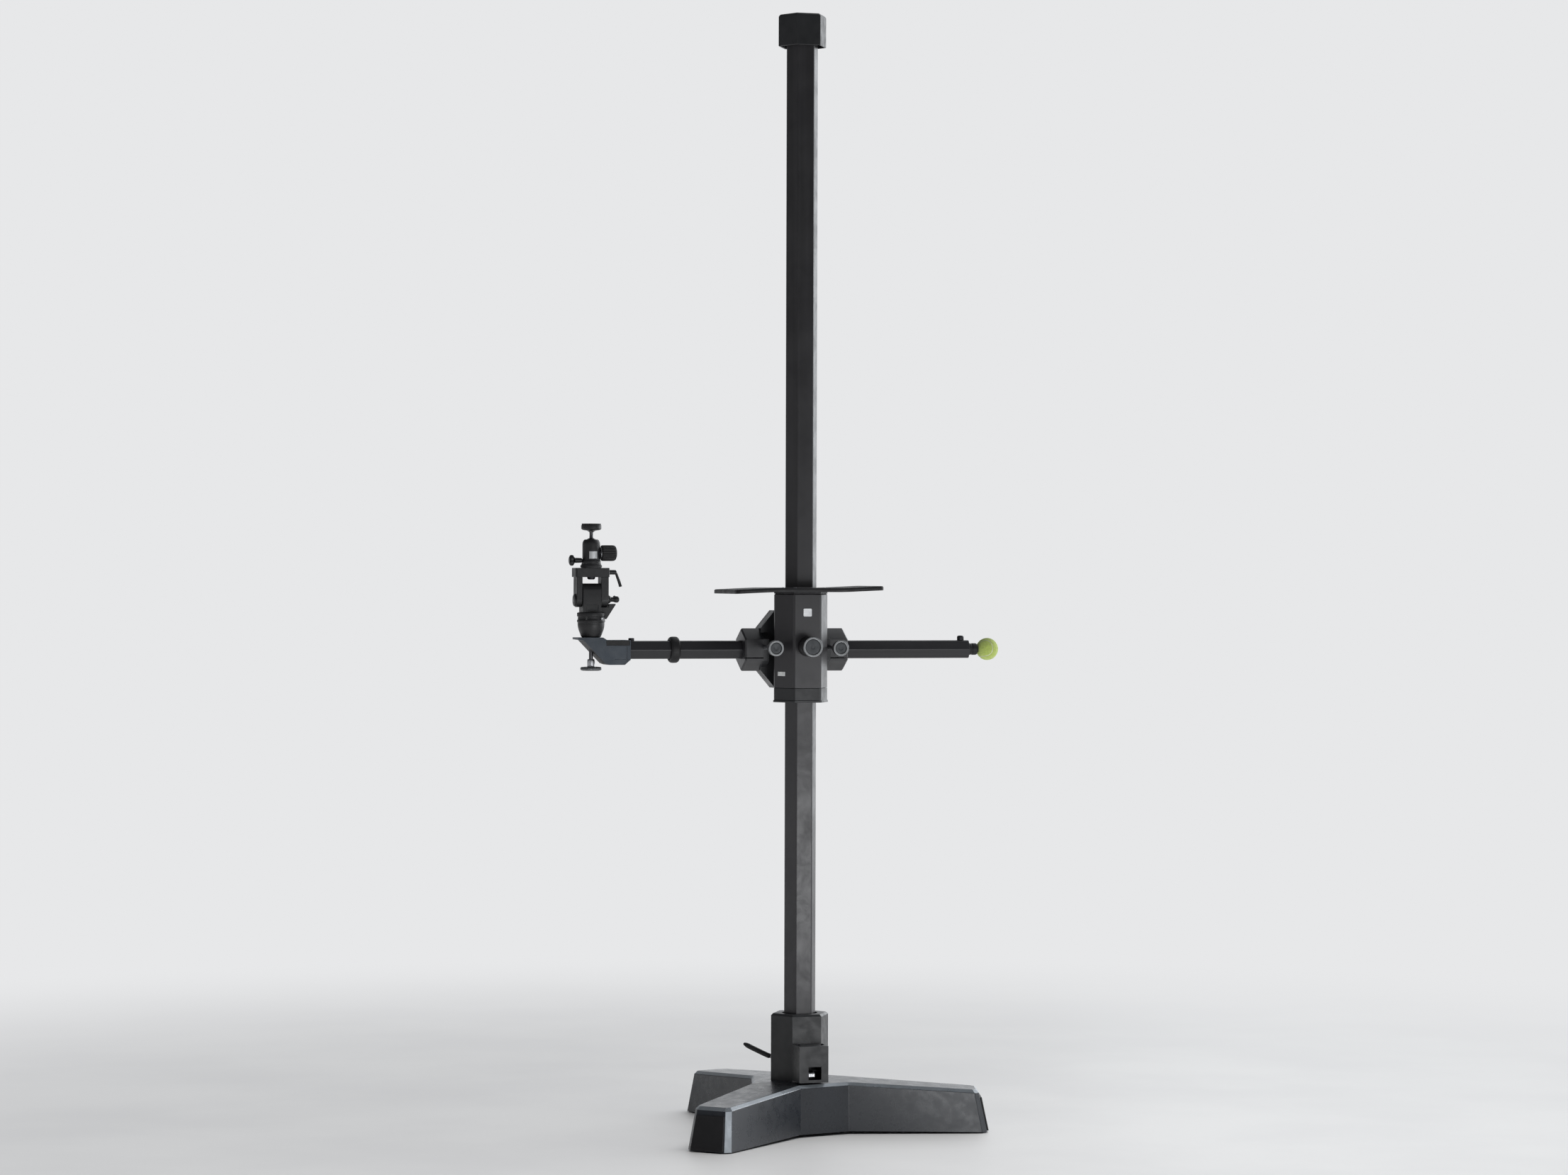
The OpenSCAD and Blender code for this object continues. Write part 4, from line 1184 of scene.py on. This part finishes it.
# ------------------------------------------------------------------ ball head
house_z = span("ballhead_housing")[0].z
at = (head_x, head_y, house_z)
lock_z, pan_lock_z = arm_z + 278, arm_z + 257
revolve("ballhead_pan_base", [
    (0, -12.4), (28, -12.4), (30.6, -11.2), (31, -10), (31, -5.2), (29.4, -4.2), (28.4, -3),
    (28.4, -0.1), (0, -0.1),
], at, "Z", "head_black", "yoke", fillet=(0.6, 3), ribs=(90, 0.5, 30.7),
    replaces="ballhead_base")
housing = revolve("ballhead_body", [
    (0, 0), (27.4, 0), (27.4, 7.5), (25.6, 9.5), (25.4, 12), (25.4, 55), (25.0, 60),
    (23.0, 65), (19.8, 68.6), (17.4, 69.4), (16.4, 68.2), (16.4, 64.2), (19.0, 61.5),
    (19.6, 57), (18, 46), (10, 36), (0, 34),
], at, "Z", "head_black", "ball_housing", n=128, fillet=(0.7, 3),
    replaces="ballhead_housing")
cut(housing, drill((head_x + 12, head_y, lock_z), "X", 6.3, 30),
    drill((head_x - 40, head_y, pan_lock_z), "X", 4.2, 22),
    box_cutter(head_x - 2.2, head_x + 2.2, head_y - 40, head_y - 24.6,
               house_z + 13, house_z + 15.4))
# a blank plate curved round the front of the housing
steps = 14
arc = [radians(-116 + 54 * i / steps) for i in range(steps + 1)]
verts = [(head_x + r * cos(a), head_y + r * sin(a), z)
         for r in (25.42, 26.2) for z in (house_z + 14, house_z + 35) for a in arc]
w = steps + 1
faces = [(p + i, p + i + 1, q + i + 1, q + i) for i in range(steps)
         for p, q in ((0, w), (2 * w, 3 * w), (0, 2 * w), (w, 3 * w))]
faces += [(i, w + i, 3 * w + i, 2 * w + i) for i in (0, steps)]
part("blank_plate_head", verts, faces, "label_silver", "ball_housing", bevel=0.25, seg=2,
     slot="head_black")
revolve("ball_lock_grip", [
    (0, 0.6), (19, 0.6), (21.6, 2.2), (22.8, 5), (23.0, 12), (23.0, 34), (22.2, 39.5),
    (19.4, 43.6), (14.5, 45.8), (8, 46.4), (0, 46.4),
], (head_x + 27.4, head_y, lock_z), "X", "rubber_black", "lock_knob", fillet=(1.2, 4),
    ribs=(20, 1.5, 20.5), replaces="lock_knob")
revolve("ball_lock_stem", [(0, 0), (6, 0), (6, 15), (0, 15)], (head_x + 14, head_y, lock_z),
        "X", "steel", "lock_knob", n=48, fillet=(0.4, 2), slot="steel")
revolve("ball_lock_ring", [(6.2, 0), (16, 0), (17.2, 0.8), (17.2, 2.4), (6.2, 2.4)],
        (head_x + 25.8, head_y, lock_z), "X", "steel", "lock_knob", n=64, fillet=(0.4, 2),
        slot="steel")
revolve("pan_lock_grip", [
    (0, 0), (9, 0.2), (13, 1.6), (15.4, 4.5), (15.6, 9), (14.4, 12.4), (9.6, 14.6),
    (7.4, 17), (7.2, 26), (6.6, 37), (0, 37),
], (head_x - 65, head_y, pan_lock_z), "X", "plastic_black", "pan_knob", n=144,
    fillet=(1.0, 4), ribs=(2, 7.5, 9.8), replaces="pan_knob")
revolve("pan_lock_stem", [(0, 0), (4, 0), (4, 12), (0, 12)],
        (head_x - 30, head_y, pan_lock_z), "X", "dark_screw", "pan_knob", n=40,
        fillet=(0.4, 2), slot="steel")

low, high = span("camera_platform")
swivel_z = span("ball_stem")[0].z + 20
stem_top = min(38.0, low.z - swivel_z - 0.3)
revolve("swivel_ball",
        [(20 * sin(radians(a)), -20 * cos(radians(a))) for a in range(0, 164, 4)]
        + [(5.6, 19.0), (5.2, 22), (5.0, 30), (5.4, stem_top - 2), (8.5, stem_top),
           (0, stem_top)],
        (head_x, head_y, swivel_z), "Z", "dark_steel", "ball", replaces="ball_stem")
R = (high.x - low.x) / 2
at = (head_x, head_y, low.z)
revolve("platform_plate", [
    (0, 0), (9, 0), (12, 2.2), (22.5, 3.6), (26.5, 5.2), (R - 0.6, 7.2), (R, 8.2), (R, 17.2),
    (R - 1.0, 18.2), (5.0, 18.2), (4.8, 17.4), (4.8, 5.2), (0, 5.2),
], at, "Z", "head_black", "platform", fillet=(0.6, 3), replaces="camera_platform")
revolve("platform_pad", [
    (6.0, 18.0), (R - 2.0, 18.0), (R - 1.2, 18.8), (R - 1.2, 21.6), (R - 2.2, 22.5),
    (R - 6, 22.5), (R - 6.6, 21.9), (R - 8.2, 21.9), (R - 8.8, 22.5), (R - 13, 22.5),
    (R - 13.6, 21.9), (R - 15.2, 21.9), (R - 15.8, 22.5), (6.8, 22.5), (6.0, 21.8),
], at, "Z", "rubber_black", "platform", fillet=(0.3, 2), slot="rubber_black")

# every other CAD piece that shows
for node in NODES:
    if node not in finished and not NODES[node].hide_render:
        cad(node)

# ------------------------------------------------------------------ floor, in metres
PALE = (0.80, 0.805, 0.815)
mat = Material("floor_pale")
col = mat.mix(mat.patches(scale=1.3, rough=0.5, at=(0.3, 0.7)),
              (0.66, 0.66, 0.66), (0.71, 0.71, 0.705))
specks = mat.patches(scale=45, detail=5, rough=0.6, at=(0.5, 0.8))
mat.surface(base_color=mat.mix(mat.times(specks, 0.15), col, (0.6, 0.6, 0.6)), roughness=0.5,
            normal=mat.bump(mat.noise(scale=260, detail=3), strength=0.05, distance=0.0004))
# far from the column it glows like the wall, so that no horizon shows
glow = mat.node("ShaderNodeEmission")
mat.put(glow.inputs["Color"], PALE)
xyz = mat.split(mat.coords)
far = mat.ramp(mat.radial(xyz[0], xyz[1]), at=(1.3, 5.5))
mat.put(mat.output, mat.mix_shader(far, mat.shader.outputs[0], glow.outputs[0]))
mesh = bpy.data.meshes.new("floor")
mesh.from_pydata([(-40, -40, 0), (40, -40, 0), (40, 40, 0), (-40, 40, 0)], [], [(0, 1, 2, 3)])
floor_obj = link("floor", mesh)
mesh.materials.append(MATERIALS["floor_pale"])

# ------------------------------------------------------------------ world
# a room dim on the left and bright behind on the right, seen as a plain pale wall
world = bpy.data.worlds.new("room")
bpy.context.scene.world = world
room = Graph(world)
view = room.node("ShaderNodeTexCoord").outputs["Generated"]


def toward(direction, at, to):
    """Brightness that changes with the angle from a direction."""
    return room.ramp(room.dot(view, tuple(Vector(direction).normalized())), at, to)


def background(color, strength=None):
    node = room.node("ShaderNodeBackground")
    room.put(node.inputs["Color"], color)
    if strength is not None:
        room.put(node.inputs["Strength"], strength)
    return node.outputs[0]


light = room.plus(toward((0.80, 0.30, 0.52), at=(0.66, 0.95), to=(0.11, 1.3)),
                  toward((0.42, 0.9, 0.0), at=(0.5, 0.95), to=(0.0, 0.72)))
light = room.plus(light, toward((0, 0, 1), at=(0.6, 1.0), to=(0.0, 0.12)))
seen = room.node("ShaderNodeLightPath").outputs["Is Camera Ray"]
mixed = room.mix_shader(seen, background((0.95, 0.97, 1.0), light), background(PALE))
room.put(room.node("ShaderNodeOutputWorld").inputs[0], mixed)


# ------------------------------------------------------------------ lights, in metres
def area(name, at, target, width, height, power, color):
    data = bpy.data.lights.new(name, "AREA")
    data.energy = power
    data.color = color
    data.shape = "RECTANGLE"
    data.size = width
    data.size_y = height
    obj = link(name, data)
    obj.location = at
    obj.rotation_euler = (Vector(target) - Vector(at)).to_track_quat("-Z", "Y").to_euler()
    obj.visible_camera = False
    return obj


right = area("window_right", at=(4.8, 0.9, 2.0), target=(0, 0, 1.3), width=2.4, height=2.8,
             power=58, color=(0.95, 0.98, 1.0))
area("window_back", at=(3.6, 4.2, 2.2), target=(0, 0, 1.4), width=2.6, height=3.4,
     power=22, color=(0.93, 0.98, 1.0))
front = area("low_front", at=(0.75, -3.3, 0.5), target=(0, 0, 0.75), width=1.9, height=0.9,
             power=8, color=(0.97, 0.985, 1.0))
front.data.spread = radians(95)
top = area("soft_top", at=(1.0, -1.0, 6.0), target=(0.0, 0.0, 0.0), width=5.0, height=5.0,
           power=240, color=(1.0, 0.99, 0.985))
# the first and third light only the stand, the top one only the floor
stand = [o for o in bpy.data.objects if o.type == "MESH" and o is not floor_obj]
for lamp, lit in ((right, stand), (front, stand), (top, [floor_obj])):
    receivers = bpy.data.collections.new("lit_by_" + lamp.name)
    for obj in lit:
        receivers.objects.link(obj)
    lamp.light_linking.receiver_collection = receivers

# ------------------------------------------------------------------ camera, in metres
lens = bpy.data.cameras.new("camera")
lens.lens = 96.425
lens.sensor_width = 36.0
lens.clip_end = 200.0
camera = link("camera", lens)
heading, tilt, roll = radians(16.08), radians(0.215), radians(0.163)
camera.location = (-3.405, -11.637, 1.614)
forward = Vector((sin(heading) * cos(tilt), cos(heading) * cos(tilt), -sin(tilt)))
camera.rotation_mode = "QUATERNION"
camera.rotation_quaternion = (forward.to_track_quat("-Z", "Y")
                              @ Matrix.Rotation(roll, 4, "Z").to_quaternion())
bpy.context.scene.camera = camera
bpy.context.scene.view_settings.view_transform = "Standard"

bpy.context.view_layer.update()
